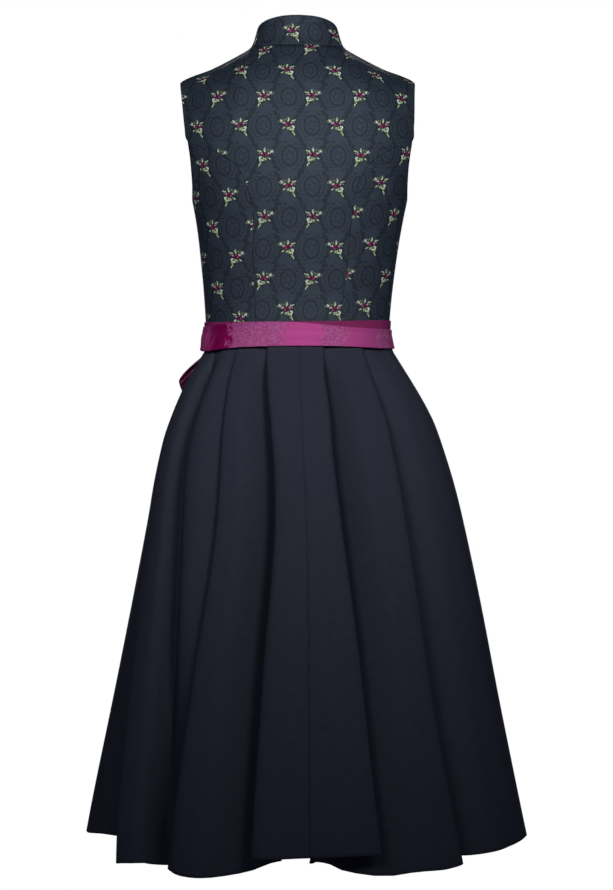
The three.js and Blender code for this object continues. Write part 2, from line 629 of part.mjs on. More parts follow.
// Cloth-covered buttons close the centre front.
const BUTTON_PROFILE = [[0, 0], [5.6, 0], [6.4, 1], [6.2, 2.6], [4.4, 4.2], [0, 4.9]].map(
  ([radius, height]) => new THREE.Vector2(radius, height));
const closure = frontPanel(1).map((row) => row[row.length - 1]);   // the centre front edge
for (let k = 0; k < BUTTONS; k += 1) {
  const height = mix(-330, -24, k / (BUTTONS - 1));
  const above = closure.findIndex(({ point }) => point.z > height);
  const [low, high] = [closure[above - 1], closure[above]];
  const share = (height - low.point.z) / (high.point.z - low.point.z);
  const seat = low.point.clone().lerp(high.point, share).setX(0);
  const normal = high.point.clone().sub(low.point).setX(0).cross(new THREE.Vector3(1, 0, 0));
  normal.normalize();
  const dome = new THREE.LatheGeometry(BUTTON_PROFILE, 12);
  const button = add(`button_${k + 1}`, dome, MATERIAL.brocade);
  button.quaternion.setFromUnitVectors(new THREE.Vector3(0, 1, 0), normal);
  button.position.copy(seat).addScaledVector(normal, SEAM + 0.2);
}

export default dirndl;
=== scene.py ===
# A sleeveless, high-collared midi dirndl in its worn, hollow form: a princess-seamed bodice of
# satin brocade, a folded navy skirt, a gathered berry apron, and the apron's ribbon, wound twice
# round the waist and tied in a bow at the left front. The wearer faces +Y. Tables are in mm.
import math

import bmesh
import bpy
import mathutils
import numpy as np
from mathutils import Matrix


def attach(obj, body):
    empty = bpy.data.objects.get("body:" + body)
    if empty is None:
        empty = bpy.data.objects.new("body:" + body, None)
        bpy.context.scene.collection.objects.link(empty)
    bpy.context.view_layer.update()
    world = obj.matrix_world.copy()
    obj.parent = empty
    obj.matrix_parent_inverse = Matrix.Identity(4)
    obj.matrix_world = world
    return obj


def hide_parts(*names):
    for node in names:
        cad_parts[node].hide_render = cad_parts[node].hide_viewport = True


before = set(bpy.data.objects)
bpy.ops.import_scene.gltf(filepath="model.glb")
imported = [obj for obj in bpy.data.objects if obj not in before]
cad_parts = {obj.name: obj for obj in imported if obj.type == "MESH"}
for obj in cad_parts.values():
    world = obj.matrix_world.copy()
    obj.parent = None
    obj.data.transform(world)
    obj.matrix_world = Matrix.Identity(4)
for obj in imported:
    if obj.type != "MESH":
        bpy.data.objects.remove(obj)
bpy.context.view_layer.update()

# ---- Back centre panel ----
# The middle of the back, cut in one piece from the waist to the collar and out to the shoulder
# tips, between the two princess seams. Satin brocade, interlined, its armhole edges turned in.
MM = 0.001
WAIST = -366  # height of the waist seam
SHOULDER_ROUND = 75  # how far below the shoulder line the body begins to round over
ROUND_DROP = 3  # how that rounding grows with the height
ROUND_DEPTH = 2.2  # and how it draws the depth in
SHOULDER_TIP = 166  # the armhole's top, out from the middle
SECTION = 0.82  # below 1, the body's cross-section is fuller than an oval
BUST_SWELL = 12
BUST_PLACE = (82, -208)  # out from the middle, and height
BUST_REACH = (46, 52)
NAPE_HEIGHT = 41
NECK_DROP = 46  # from the nape down to the throat
NECK_CURVE = 3.5
NECK_HALF_WIDTH = 68
NECK_BACK = 50
NECK_FRONT = 64
BODICE_CLOTH = 1.6  # with its interlining


def columns(names, rows):
    """A short table with named columns."""
    return dict(zip(names.split(), np.array(rows, float).T))


def along(table, by, at, name):
    """A smooth curve through a table's column, read where column `by` has the values `at`."""
    x, y = table[by], table[name]
    if x[0] > x[-1]:
        x, y = x[::-1], y[::-1]
    slope = np.empty_like(y)
    slope[1:-1] = (y[2:] - y[:-2]) / (x[2:] - x[:-2])
    slope[0] = (y[1] - y[0]) / (x[1] - x[0])
    slope[-1] = (y[-1] - y[-2]) / (x[-1] - x[-2])
    t = np.clip(at, x[0], x[-1])
    i = np.clip(np.searchsorted(x, t) - 1, 0, len(x) - 2)
    span = x[i + 1] - x[i]
    f = (t - x[i]) / span
    ends = y[i] * (2 * f**3 - 3 * f**2 + 1) + y[i + 1] * (3 * f**2 - 2 * f**3)
    return ends + span * (slope[i] * (f**3 - 2 * f**2 + f) + slope[i + 1] * (f**3 - f**2))


def mix(a, b, share):
    return a + (b - a) * share


def ease(t):
    t = np.clip(t, 0, 1)
    return t * t * (3 - 2 * t)


def unit(vectors):
    return vectors / np.linalg.norm(vectors, axis=-1, keepdims=True)


TORSO = columns("height centre half_width back front", [
    [-391, 0, 131, 86, 94], [WAIST, 0, 129, 84, 92], [-317, 0.6, 132, 84, 96],
    [-261, 1.6, 138, 89, 104], [-218, 2.6, 144, 93, 109], [-176, 3.2, 152, 97, 110],
    [-134, 3.2, 162.5, 97, 103], [-97, 3, 171, 95, 94], [-63, 2.4, 173, 91, 85],
    [-16, 1, 171, 82, 73], [36, 0, 168, 68, 60],
])
NECK_POINT_HEIGHT = NAPE_HEIGHT - NECK_DROP * 0.5**NECK_CURVE
SHOULDER = columns("out height", [
    [0, 60], [45, 51], [61, 44], [NECK_HALF_WIDTH, NECK_POINT_HEIGHT], [95, 21.5], [123, 7.5],
    [150, -2.5], [SHOULDER_TIP, -11.5], [175, -27],
])


def shoulder_height(x):
    return along(SHOULDER, "out", np.abs(x), "height")


def section_depth(table, height, cosine):
    """How deep the section is from its middle, to the front or to the back."""
    front, back = (along(table, "height", height, side) for side in ("front", "back"))
    return np.where(cosine < 0, front, back)


def torso(turn, height):
    """The body's surface above the waist, by turn from centre back and height."""
    turn, height = np.broadcast_arrays(turn, height)
    cosine = np.cos(np.radians(turn))
    x = along(TORSO, "height", height, "half_width") * np.sin(np.radians(turn))
    x = x + along(TORSO, "height", height, "centre")
    depth = section_depth(TORSO, height, cosine)
    w = np.clip((height - shoulder_height(x) + SHOULDER_ROUND) / SHOULDER_ROUND, 0, 1)
    rounding = (1 - w**ROUND_DROP) ** (1 / ROUND_DEPTH)
    out = (np.abs(x) - BUST_PLACE[0]) / BUST_REACH[0]
    rise = (height - BUST_PLACE[1]) / BUST_REACH[1]
    bust = BUST_SWELL * np.exp(-(out**2) - rise**2) * ease(-6 * cosine)
    y = -np.sign(cosine) * (depth * np.abs(cosine) ** SECTION * rounding + bust)
    return np.stack([x, y, height], -1)


def neckline(angle):
    """The collar seam's points by angle from centre back, and the cloth's normal there."""
    s, c = np.sin(np.radians(angle)), np.cos(np.radians(angle))
    y = -c * np.where(c > 0, NECK_BACK, NECK_FRONT)
    height = NAPE_HEIGHT - NECK_DROP * ((1 - c) / 2) ** NECK_CURVE
    height = np.minimum(NECK_POINT_HEIGHT, height)
    points = np.stack([NECK_HALF_WIDTH * s, y, height], -1)
    return points, unit(np.stack([s * 0.62, -c * 0.62, 0.78 + 0 * s], -1))


def shoulder_seam(x):
    return np.stack([x, 0 * x, shoulder_height(x)], -1)


def turn_at(x, height, front):
    """The turn at which the body's surface has the distance x from the middle."""
    turn = np.degrees(np.arcsin(x / along(TORSO, "height", height, "half_width")))
    return 180 - turn if front else turn


def surface_height(seam):
    """The height at which the body's surface reaches each seam point's depth."""
    x, y, height = seam.T
    depth = along(TORSO, "height", height, "back")
    cosine = np.sqrt(1 - (x / along(TORSO, "height", height, "half_width")) ** 2)
    rounding = np.clip(np.abs(y) / (depth * cosine**SECTION), 0, 1)
    w = (1 - rounding**ROUND_DEPTH) ** (1 / ROUND_DROP)
    return shoulder_height(x) - SHOULDER_ROUND * (1 - w)


def through(rows, shares):
    """A smooth curve through a short list of rows, read at shares of its length."""
    rows = np.array(rows, float)
    table = {k: rows[:, k] for k in range(rows.shape[1])}
    table["share"] = np.linspace(0, 1, len(rows))
    return np.stack([along(table, "share", shares, k) for k in range(rows.shape[1])], -1)


def patch(across, up, bottom, top, left, right, target=None, seam_share=1):
    """Fills the (turn, height) space between four edges; the top row ends on exact points."""
    u, v = across[None, :, None], up[:, None, None]
    left, right = left[:, None], right[:, None]
    place = (1 - u) * left + u * right
    place = place + (1 - v) * (bottom - (1 - u) * bottom[0] - u * bottom[-1])
    place = place + v**3 * (top - (1 - u) * top[0] - u * top[-1])
    points = torso(place[..., 0], place[..., 1])
    if target is not None:
        near = ease((v - seam_share) / (1 - seam_share))
        points = points + near * (target - torso(top[:, 0], top[:, 1]))
    return points, place


def surface_normals(points):
    """Outward normals of a grid whose columns run left to right and rows run upwards."""
    across, up = np.gradient(points, axis=1), np.gradient(points, axis=0)
    return unit(np.cross(across, up))


def cloth_map(place, grain, bouquet):
    """Cloth coordinates in mm, measured round and up the body from one bouquet of the pattern.
    grain is the turn of the grain line, and bouquet the (way round, height) of a bouquet."""
    steps = np.linspace(0, 1, 25)[:, None, None]
    turn, height = place[..., 0], place[..., 1]
    sweep = np.diff(torso(mix(grain, turn, steps), height), axis=0)
    round_way = np.linalg.norm(sweep, axis=-1).sum(0) * np.sign(turn - grain)
    rise = np.diff(torso(turn, mix(bouquet[1], height, steps)), axis=0)
    up_way = np.linalg.norm(rise[..., 1:], axis=-1).sum(0) * np.sign(height - bouquet[1])
    return np.stack([round_way - bouquet[0], up_way], -1)


def relax(points, rounds, share):
    """Evens out the surface along its own normals, held at its edges, where share is above 0."""
    for _ in range(rounds):
        inner = points[1:-1, 1:-1]
        mean = (points[:-2, 1:-1] + points[2:, 1:-1] + points[1:-1, :-2] + points[1:-1, 2:]) / 4
        normals = surface_normals(points)[1:-1, 1:-1]
        off = np.sum((mean - inner) * normals, axis=-1, keepdims=True)
        points[1:-1, 1:-1] = inner + normals * off * share[1:-1, 1:-1, None]
    return points


def walk(points, axis):
    """The way along the cloth from the start of each column (axis 0) or row (axis 1)."""
    step = np.linalg.norm(np.diff(points, axis=axis), axis=-1)
    pad = [(0, 0), (0, 0)]
    pad[axis] = (1, 0)
    return np.cumsum(np.pad(step, pad), axis=axis)


def edge_roll(points, depth=0.5, reach=1.5, sides="t"):
    """How far the cloth turns in at its seams, by the distance to each edge of the grid."""
    across, up = walk(points, 1), walk(points, 0)
    ways = {"l": across, "r": across[:, -1:] - across, "b": up, "t": up[-1:] - up}
    return sum(depth * np.exp(-((ways[s] / reach) ** 2)) for s in sides)


def turn_in_seams(points, uv, ditch=0.5, depth=2.4):
    """Turns a panel's two side edges in, so that its seams show as fine closed ditches."""
    normals = surface_normals(points)
    grids = []
    for grid in (points, uv):
        sides = []
        for edge, inner in ((0, 1), (-1, -2)):
            span = np.linalg.norm(points[:, inner] - points[:, edge], axis=-1)[:, None]
            lip = mix(grid[:, edge], grid[:, inner], ditch / span)
            flat = mix(grid[:, edge], grid[:, inner], np.minimum(2.5 * ditch / span, 0.9))
            sunk = mix(grid[:, edge], grid[:, inner], -0.8 * ditch / span)
            sunk = sunk - (depth * normals[:, edge] if grid is points else 0)
            sides.append(np.stack([sunk, lip, flat], 1))
        grids.append(np.concatenate([sides[0], grid[:, 1:-1], sides[1][:, ::-1]], 1))
    return grids


def ripples(uv, rows):
    """Soft creases from a table: where they lie on the cloth, their heading, and their size."""
    total = 0
    for x, y, heading, length, width, height in rows:
        h = math.radians(heading)
        dx, dy = uv[..., 0] - x, uv[..., 1] - y
        way, off = dx * math.cos(h) + dy * math.sin(h), -dx * math.sin(h) + dy * math.cos(h)
        total = total + height * np.exp(-((way / length) ** 2) - (off / width) ** 2)
    return total


def linear(code):
    """An sRGB hex colour as linear RGBA."""
    shares = [int(code[k:k + 2], 16) / 255 for k in (1, 3, 5)]
    return (*[s / 12.92 if s <= 0.04045 else ((s + 0.055) / 1.055) ** 2.4 for s in shares], 1)


def node(tree, kind, *inputs, sockets=None, **settings):
    """Adds a shader node. Inputs go to its sockets in order, `sockets` names others; each is a
    number, a colour, a node or a node's output."""
    made = tree.nodes.new("ShaderNode" + kind)
    for name, value in settings.items():
        setattr(made, name, value)
    pairs = list(zip([s for s in made.inputs if s.enabled], inputs))
    pairs += [(made.inputs[name], value) for name, value in (sockets or {}).items()]
    for socket, value in pairs:
        if isinstance(value, bpy.types.Node):
            value = next(s for s in value.outputs if s.enabled)
        if isinstance(value, bpy.types.NodeSocket):
            tree.links.new(value, socket)
        elif value is not None:
            socket.default_value = value
    return made


def bare(owner):
    """A new material or world, and its node tree with nothing in it."""
    owner.use_nodes = True
    owner.node_tree.nodes.clear()
    return owner, owner.node_tree


def cloth_material(name):
    """An empty material and its node tree, with the cloth's own coordinates in mm."""
    material, tree = bare(bpy.data.materials.new(name))
    cloth_uv = node(tree, "UVMap", uv_map="Cloth")
    scale = node(tree, "Mapping", cloth_uv, sockets={"Scale": (1000, 1000, 1000)})
    return material, tree, scale


def finish(tree, colour, relief, strength, depth, **light):
    """Ends a cloth's material: its colour, its threads' relief and how it takes the light."""
    bump = node(tree, "Bump", sockets={"Strength": strength, "Distance": depth, "Height": relief})
    surface = node(tree, "BsdfPrincipled", sockets={
        "Base Color": colour, "Normal": bump, "IOR": 1.5,
        **{name.replace("_", " "): value for name, value in light.items()}})
    node(tree, "OutputMaterial", surface)


def new_object(name, data):
    made = bpy.data.objects.new(name, data)
    bpy.context.scene.collection.objects.link(made)
    return made


def mesh_from(bm, name):
    """Ends a bmesh as a mesh."""
    mesh = bpy.data.meshes.new(name)
    bm.to_mesh(mesh)
    bm.free()
    return mesh


def take_place(piece, cad_node):
    """Puts a piece on the body, in the place of its CAD node."""
    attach(piece, "root")
    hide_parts(cad_node)


def cloth(name, points, uv, material, cad_node, thickness):
    """A sheet of cloth on a grid of outer points, given its thickness inwards."""
    high, wide = points.shape[0] - 1, points.shape[1] - 1
    bm = bmesh.new()
    bm.loops.layers.uv.new("Cloth")
    bmesh.ops.create_grid(bm, x_segments=wide, y_segments=high, size=1)
    mesh = mesh_from(bm, name)
    flat = np.empty(len(mesh.vertices) * 3, np.float32)
    mesh.vertices.foreach_get("co", flat)
    flat = (flat.reshape(-1, 3) + 1) / 2
    i, j = np.rint(flat[:, 0] * wide).astype(int), np.rint(flat[:, 1] * high).astype(int)
    mesh.vertices.foreach_set("co", (points[j, i] * MM).astype(np.float32).ravel())
    corner = np.empty(len(mesh.loops), np.int32)
    mesh.loops.foreach_get("vertex_index", corner)
    placed = (uv[j, i] * MM).astype(np.float32)[corner]
    mesh.uv_layers["Cloth"].data.foreach_set("uv", placed.ravel())
    mesh.polygons.foreach_set("use_smooth", [True] * len(mesh.polygons))
    mesh.materials.append(material)
    mesh.update()
    piece = new_object(name, mesh)
    shell = piece.modifiers.new("Thickness", "SOLIDIFY")
    shell.thickness = thickness * MM
    shell.offset = -1
    take_place(piece, cad_node)
    return piece


# Satin jacquard of viscose and polyester, piece-dyed midnight blue, woven with small brocaded
# bouquets. To the eye: a soft satin gloss on the ground, duller figures in the same blue (ogee
# frames round oval medallions), and pale sage and rose floats that stand a little proud.
REPEAT_ACROSS = 67
REPEAT_UP = 85
STEP_ACROSS = 36  # every other row is moved along by this, and its bouquets are mirrored
LEAF_SHADOW = "#16241f"
BOUQUET = [  # x, y, heading, half length, half width, colour
    (1.2, 1.2, -20, 8.8, 5.6, LEAF_SHADOW), (4.2, -5.4, -52, 8.2, 5.0, LEAF_SHADOW),
    (-8.9, 6.6, 20, 2.9, 2.6, "#c3d0bb"), (-6.0, 7.8, 20, 2.4, 1.3, "#b3c39b"),
    (-9.6, 7.0, 60, 1.4, 1.0, "#e2eadd"), (-11.6, 5.6, 30, 1.3, 0.8, "#a2b389"),
    (-3.6, 6.6, 74, 2.7, 0.9, "#aabc8f"), (0.9, 8.5, 90, 2.6, 1.8, "#b4c49c"),
    (1.0, 8.2, 90, 1.1, 0.8, "#dfe7d3"), (6.0, 5.4, 60, 1.9, 1.1, "#a6b889"),
    (8.9, 6.2, 28, 2.7, 1.2, "#bccaa8"), (8.4, 4.2, -10, 2.0, 1.0, "#a9bb90"),
    (-4.9, 3.4, 0, 2.0, 1.4, "#d4d6cd"), (-0.2, 1.8, 10, 3.9, 3.4, "#8e2a5a"),
    (-1.8, 0.4, -30, 2.0, 1.2, "#b04d82"), (0.0, 3.9, 0, 1.2, 0.9, "#d6a6c2"),
    (-0.7, 1.9, 50, 1.5, 0.8, "#5f1439"), (4.5, 2.0, 60, 3.0, 2.0, "#a04877"),
    (5.0, 3.2, 60, 1.2, 0.9, "#c57aa3"), (2.4, 2.4, 80, 1.9, 0.6, "#471029"),
    (-5.2, -3.6, 38, 2.8, 1.3, "#b9c8a6"), (-3.4, -3.4, 100, 1.7, 1.0, "#a8ba8d"),
    (-6.8, -4.6, 20, 1.2, 0.8, "#dbe4cf"), (0.4, -4.3, -30, 2.6, 1.7, "#b3c39c"),
    (3.4, -3.4, 20, 2.0, 1.4, "#bac8ae"), (7.2, -2.6, 70, 2.7, 2.0, "#b8c6b6"),
    (8.8, -3.4, 85, 1.2, 0.7, "#dfe7da"), (4.0, -6.0, -20, 2.5, 1.7, "#abbd91"),
    (6.9, -6.2, 60, 2.5, 1.9, "#bdcba6"), (6.6, -8.8, -55, 3.0, 1.7, "#b0c096"),
    (8.9, -12.3, -70, 2.3, 0.8, "#b2c198"), (5.2, -4.5, 0, 0.9, 0.7, "#22331f"),
    (2.0, -5.2, 60, 0.9, 0.6, "#22331f"), (-1.7, -2.6, 0, 0.9, 0.6, "#22331f"),
]
brocade, tree, cloth_mm = cloth_material("Satin_Brocade")
place_xy = node(tree, "SeparateXYZ", cloth_mm)
across, up = place_xy.outputs[0], place_xy.outputs[1]
row = node(tree, "Math", up, REPEAT_UP / 2, operation="DIVIDE")
row = node(tree, "Math", row, operation="ROUND")
odd = node(tree, "Math", row, 2.0, operation="FLOORED_MODULO")
shifted = node(tree, "Math", odd, -STEP_ACROSS, across, operation="MULTIPLY_ADD")
half = REPEAT_ACROSS / 2
in_cell = node(tree, "Math", shifted, half, -half, operation="WRAP")
over_row = node(tree, "Math", row, -REPEAT_UP / 2, up, operation="MULTIPLY_ADD")
mirror = node(tree, "Math", odd, -2.0, 1.0, operation="MULTIPLY_ADD")
mirrored = node(tree, "Math", in_cell, mirror, operation="MULTIPLY")
spot = node(tree, "CombineXYZ", mirrored, over_row)
fray = node(tree, "TexNoise", spot, sockets={"Scale": 0.5, "Detail": 2.0, "Roughness": 0.7})
fray = node(tree, "VectorMath", fray.outputs["Color"], (0.5, 0.5, 0.5), operation="SUBTRACT")
fray = node(tree, "VectorMath", fray, sockets={"Scale": 3.4}, operation="SCALE")
floss = node(tree, "TexVoronoi", spot, sockets={"Scale": 0.36, "Randomness": 1.0})
spot = node(tree, "VectorMath", spot, fray, operation="ADD")

# Medallions lie midway between the bouquets of a row, each in a scalloped ogee frame.
beside = node(tree, "Math", shifted, half, operation="ADD")
beside = node(tree, "Math", beside, half, -half, operation="WRAP")
turned = node(tree, "Math", over_row, beside, operation="ARCTAN2")
oval = node(tree, "CombineXYZ", beside, over_row)
oval = node(tree, "VectorMath", oval, (1 / 10.5, 1 / 13.5, 0), operation="MULTIPLY")
oval = node(tree, "VectorMath", oval, operation="LENGTH").outputs["Value"]
beads = node(tree, "Math", turned, 18.0, operation="MULTIPLY")
beads = node(tree, "Math", beads, operation="SINE")
beaded = node(tree, "Math", beads, 0.045, oval, operation="MULTIPLY_ADD")
petals = node(tree, "Math", turned, 6.0, operation="MULTIPLY")
petals = node(tree, "Math", petals, operation="SINE")
petals = node(tree, "Math", petals, 0.14, oval, operation="MULTIPLY_ADD")
ways_out = []
for offset, half_frame in ((beside, 25.5), (over_row, 36)):
    way_out = node(tree, "Math", offset, operation="ABSOLUTE")
    way_out = node(tree, "Math", way_out, 1 / half_frame, operation="MULTIPLY")
    ways_out.append(node(tree, "Math", way_out, 1.3, operation="POWER"))
ogee = node(tree, "Math", *ways_out, operation="ADD")
ogee = node(tree, "Math", beads, 0.07, ogee, operation="MULTIPLY_ADD")
figure = 0.0
for outline, middle, reach in [(beaded, 1.0, 0.16), (petals, 0.44, 0.1), (ogee, 1.0, 0.17),
                               (ogee, 0.62, 0.05)]:
    band = node(tree, "Math", outline, middle, reach, operation="COMPARE")
    figure = node(tree, "Math", figure, band, operation="MAXIMUM")
wander = node(tree, "TexNoise", cloth_mm, sockets={"Scale": 0.35, "Detail": 3.0})
figure = node(tree, "Math", figure, wander, operation="MULTIPLY")

# Satin floats run up the cloth; they are drawn about three times too coarse, so that they show.
floats = node(tree, "Mapping", cloth_mm, sockets={"Scale": (1.1, 0.16, 1)})
floats = node(tree, "TexNoise", floats, sockets={"Scale": 1.0, "Detail": 2.0})
ground = node(tree, "Mix", floats, linear("#2a323c"), linear("#333d48"), data_type="RGBA")
tone = node(tree, "Mix", figure, ground, linear("#0f151e"), data_type="RGBA")
thread = node(tree, "TexNoise", cloth_mm, sockets={"Scale": 1.6, "Detail": 1.0})
brocaded = None
for x, y, heading, long, wide, colour in BOUQUET:
    leaf = node(tree, "Mapping", spot, (x, y, 0), (0, 0, math.radians(heading)),
                (long, wide, 1), vector_type="TEXTURE")
    leaf = node(tree, "VectorMath", leaf, operation="LENGTH").outputs["Value"]
    leaf = node(tree, "Math", leaf, 1.0, operation="LESS_THAN")
    if colour == LEAF_SHADOW:
        leaf = node(tree, "Math", leaf, 0.55, operation="MULTIPLY")
    else:
        brocaded = leaf if brocaded is None else node(
            tree, "Math", brocaded, leaf, operation="MAXIMUM")
    tone = node(tree, "Mix", leaf, tone, linear(colour), data_type="RGBA")
shade = node(tree, "MapRange", thread, 0.3, 0.7, 0.95, 1.4)
knots = node(tree, "MapRange", floss, 0.28, 0.62, 1.0, 0.12)
shade = node(tree, "Math", shade, knots, operation="MULTIPLY")
shade = node(tree, "Mix", brocaded, 1.0, shade, data_type="FLOAT")
tone = node(tree, "VectorMath", tone, sockets={"Scale": shade}, operation="SCALE")
gloss = node(tree, "Mix", figure, 0.62, 0.66, data_type="FLOAT")
gloss = node(tree, "Mix", brocaded, gloss, 0.8, data_type="FLOAT")
tinted = node(tree, "Mix", brocaded, 0.35, 0.0, data_type="FLOAT")
relief = node(tree, "Math", figure, -0.35, floats, operation="MULTIPLY_ADD")
relief = node(tree, "Math", brocaded, 1.3, relief, operation="MULTIPLY_ADD")
finish(tree, tone, relief, 0.35, 0.0004, Metallic=tinted, Roughness=gloss,
       Specular_IOR_Level=0.2)

PRINCESS_BACK = columns("height left right", [
    [WAIST, -27, 27.5], [-330, -27, 28], [-290, -27.5, 29.5], [-250, -27, 30], [-215, -26, 30],
    [-180, -27, 30.5], [-150, -30, 33], [-128, -36, 39], [-110, -48, 51], [-98, -66.5, 67.5],
])
UPPER_ARMHOLE = columns("height back front", [
    [-78, 68.5, 120], [-55, 70, 118.5], [-33, 72.5, 116.5],
])
SEAM_ROWS = 9  # rows of the princess table, from the waist to the armhole
FINE_ROWS = 6  # rows of cloth for each of them
NECK_STEPS = 12
SHOULDER_STEPS = 4
TOP_STEPS = 2 * SHOULDER_STEPS + NECK_STEPS
FINE_STEPS = 5  # columns of cloth for each step


def evenly(steps):
    return np.linspace(0, 1, steps + 1)


def princess_edge(name, side, tip):
    """The panel's long edge: the princess seam, then the armhole up to the shoulder tip."""
    seam = np.stack([PRINCESS_BACK[name], PRINCESS_BACK["height"]], -1)
    hole = np.stack([side * UPPER_ARMHOLE["back"], UPPER_ARMHOLE["height"]], -1)
    return np.concatenate([seam, hole, [tip]])


def bodice_panel(name, cad_node, points, uv, creases):
    """A panel of brocade with its soft creases, turned in at its top and its two long seams."""
    lift = ripples(uv, creases) - edge_roll(points)
    points, uv = turn_in_seams(points + surface_normals(points) * lift[..., None], uv)
    panel = cloth(name, points, uv, brocade, cad_node, BODICE_CLOTH)


def near_shoulder(up_shares):
    """The share of smoothing by height: none below the armhole, and all at the shoulder."""
    return ease((up_shares[:, None] - 0.62) * 6)


steps = evenly(TOP_STEPS * FINE_STEPS)
way = steps * TOP_STEPS
angle = (way - SHOULDER_STEPS) / NECK_STEPS * 180 - 90
on_left = way < TOP_STEPS / 2
out = np.where(on_left, way, TOP_STEPS - way) / SHOULDER_STEPS
seam_x = np.where(on_left, -1, 1) * mix(SHOULDER_TIP, NECK_HALF_WIDTH, np.clip(out, 0, 1))
on_neck = (np.abs(angle) <= 90)[:, None]
target = np.where(on_neck, neckline(np.clip(angle, -90, 90))[0], shoulder_seam(seam_x))
top = np.stack([turn_at(target[:, 0], target[:, 2], False), surface_height(target)], -1)
waist_turn = mix(PRINCESS_BACK["left"][0], PRINCESS_BACK["right"][0], steps)
bottom = np.stack([waist_turn, 0 * steps + WAIST], -1)
left = princess_edge("left", -1, top[0])
right = princess_edge("right", 1, top[-1])
up_shares = evenly((len(left) - 1) * FINE_ROWS)
points, place = patch(
    steps, up_shares, bottom, top, through(left, up_shares), through(right, up_shares),
    target, SEAM_ROWS / (len(left) - 1))
uv = cloth_map(place, 0, (-16, -166))
points = relax(points, 30, near_shoulder(up_shares) + 0 * steps)
BACK_CREASES = [  # way round, way up, heading, length, width, height
    (-80, 75, 60, 40, 14, -0.6), (100, 70, 118, 45, 14, -0.6), (0, -180, 0, 90, 9, 0.4),
]
bodice_panel("bodice_back_centre", "back_centre", points, uv, BACK_CREASES)

# ---- Side backs and side fronts ----
# Four narrow panels between the princess seams and the side seams, cut so that they draw the
# bodice in to the waist. The same brocade; the pattern is cut across at the seams.
SIDE = 90  # turn of the side seams
UNDERARM = -176
SIDE_COLUMNS = 54
SIDE_ROWS = 72
PRINCESS_FRONT = columns("height turn", [
    [WAIST, 151], [-330, 150], [-290, 148], [-250, 145.5], [-215, 143.5], [-180, 141],
    [-155, 137.5], [-135, 132], [-115, 126], [-98, 121],
])
SIDE_PANELS = [  # name, node, side, front, grain, bouquet
    ("bodice_side_back_left", "back_side_left", -1, False, -48, (-17, -220)),
    ("bodice_side_back_right", "back_side_right", 1, False, 53, (-15, -245)),
    ("bodice_side_front_left", "front_side_left", -1, True, 240, (10, -240)),
    ("bodice_side_front_right", "front_side_right", 1, True, 120, (-8, -232)),
]
for name, cad_node, side, front, grain, bouquet in SIDE_PANELS:
    if front:
        turns = PRINCESS_FRONT["turn"] if side > 0 else 360 - PRINCESS_FRONT["turn"]
    else:
        turns = PRINCESS_BACK["right" if side > 0 else "left"]
    princess = np.stack([turns, PRINCESS_BACK["height"]], -1)
    side_turn = side * SIDE + (360 if front and side < 0 else 0)
    side_seam = np.array([[side_turn, h] for h in np.linspace(WAIST, UNDERARM, SEAM_ROWS + 1)])
    columns_across = evenly(SIDE_COLUMNS)
    quarter = columns_across * math.pi / 2
    armhole = np.stack([
        mix(princess[-1, 0], side_turn, 1 - np.cos(quarter)),
        mix(princess[-1, 1], UNDERARM, np.sin(quarter))], -1)
    waist = np.stack([mix(princess[0, 0], side_turn, columns_across), 0 * quarter + WAIST], -1)
    edges = [waist, armhole]
    sides = [princess, side_seam]
    if princess[0, 0] > side_turn:
        edges = [edge[::-1] for edge in edges]
        sides = sides[::-1]
    up_shares = evenly(SIDE_ROWS)
    points, place = patch(columns_across, up_shares, *edges,
                          *[through(edge, up_shares) for edge in sides])
    uv = cloth_map(place, grain, bouquet)
    creases = [  # way round, way up, heading, length, width, height
        (-20, 60, 70, 30, 10, -0.7), (12, 20, 80, 40, 9, 0.6), (0, -60, 10, 40, 9, -0.4),
        (side * 22, 84, 75, 24, 8, 0.9), (side * 10, 70, 100, 26, 7, -0.9),
    ]
    bodice_panel(name, cad_node, points, uv, creases)

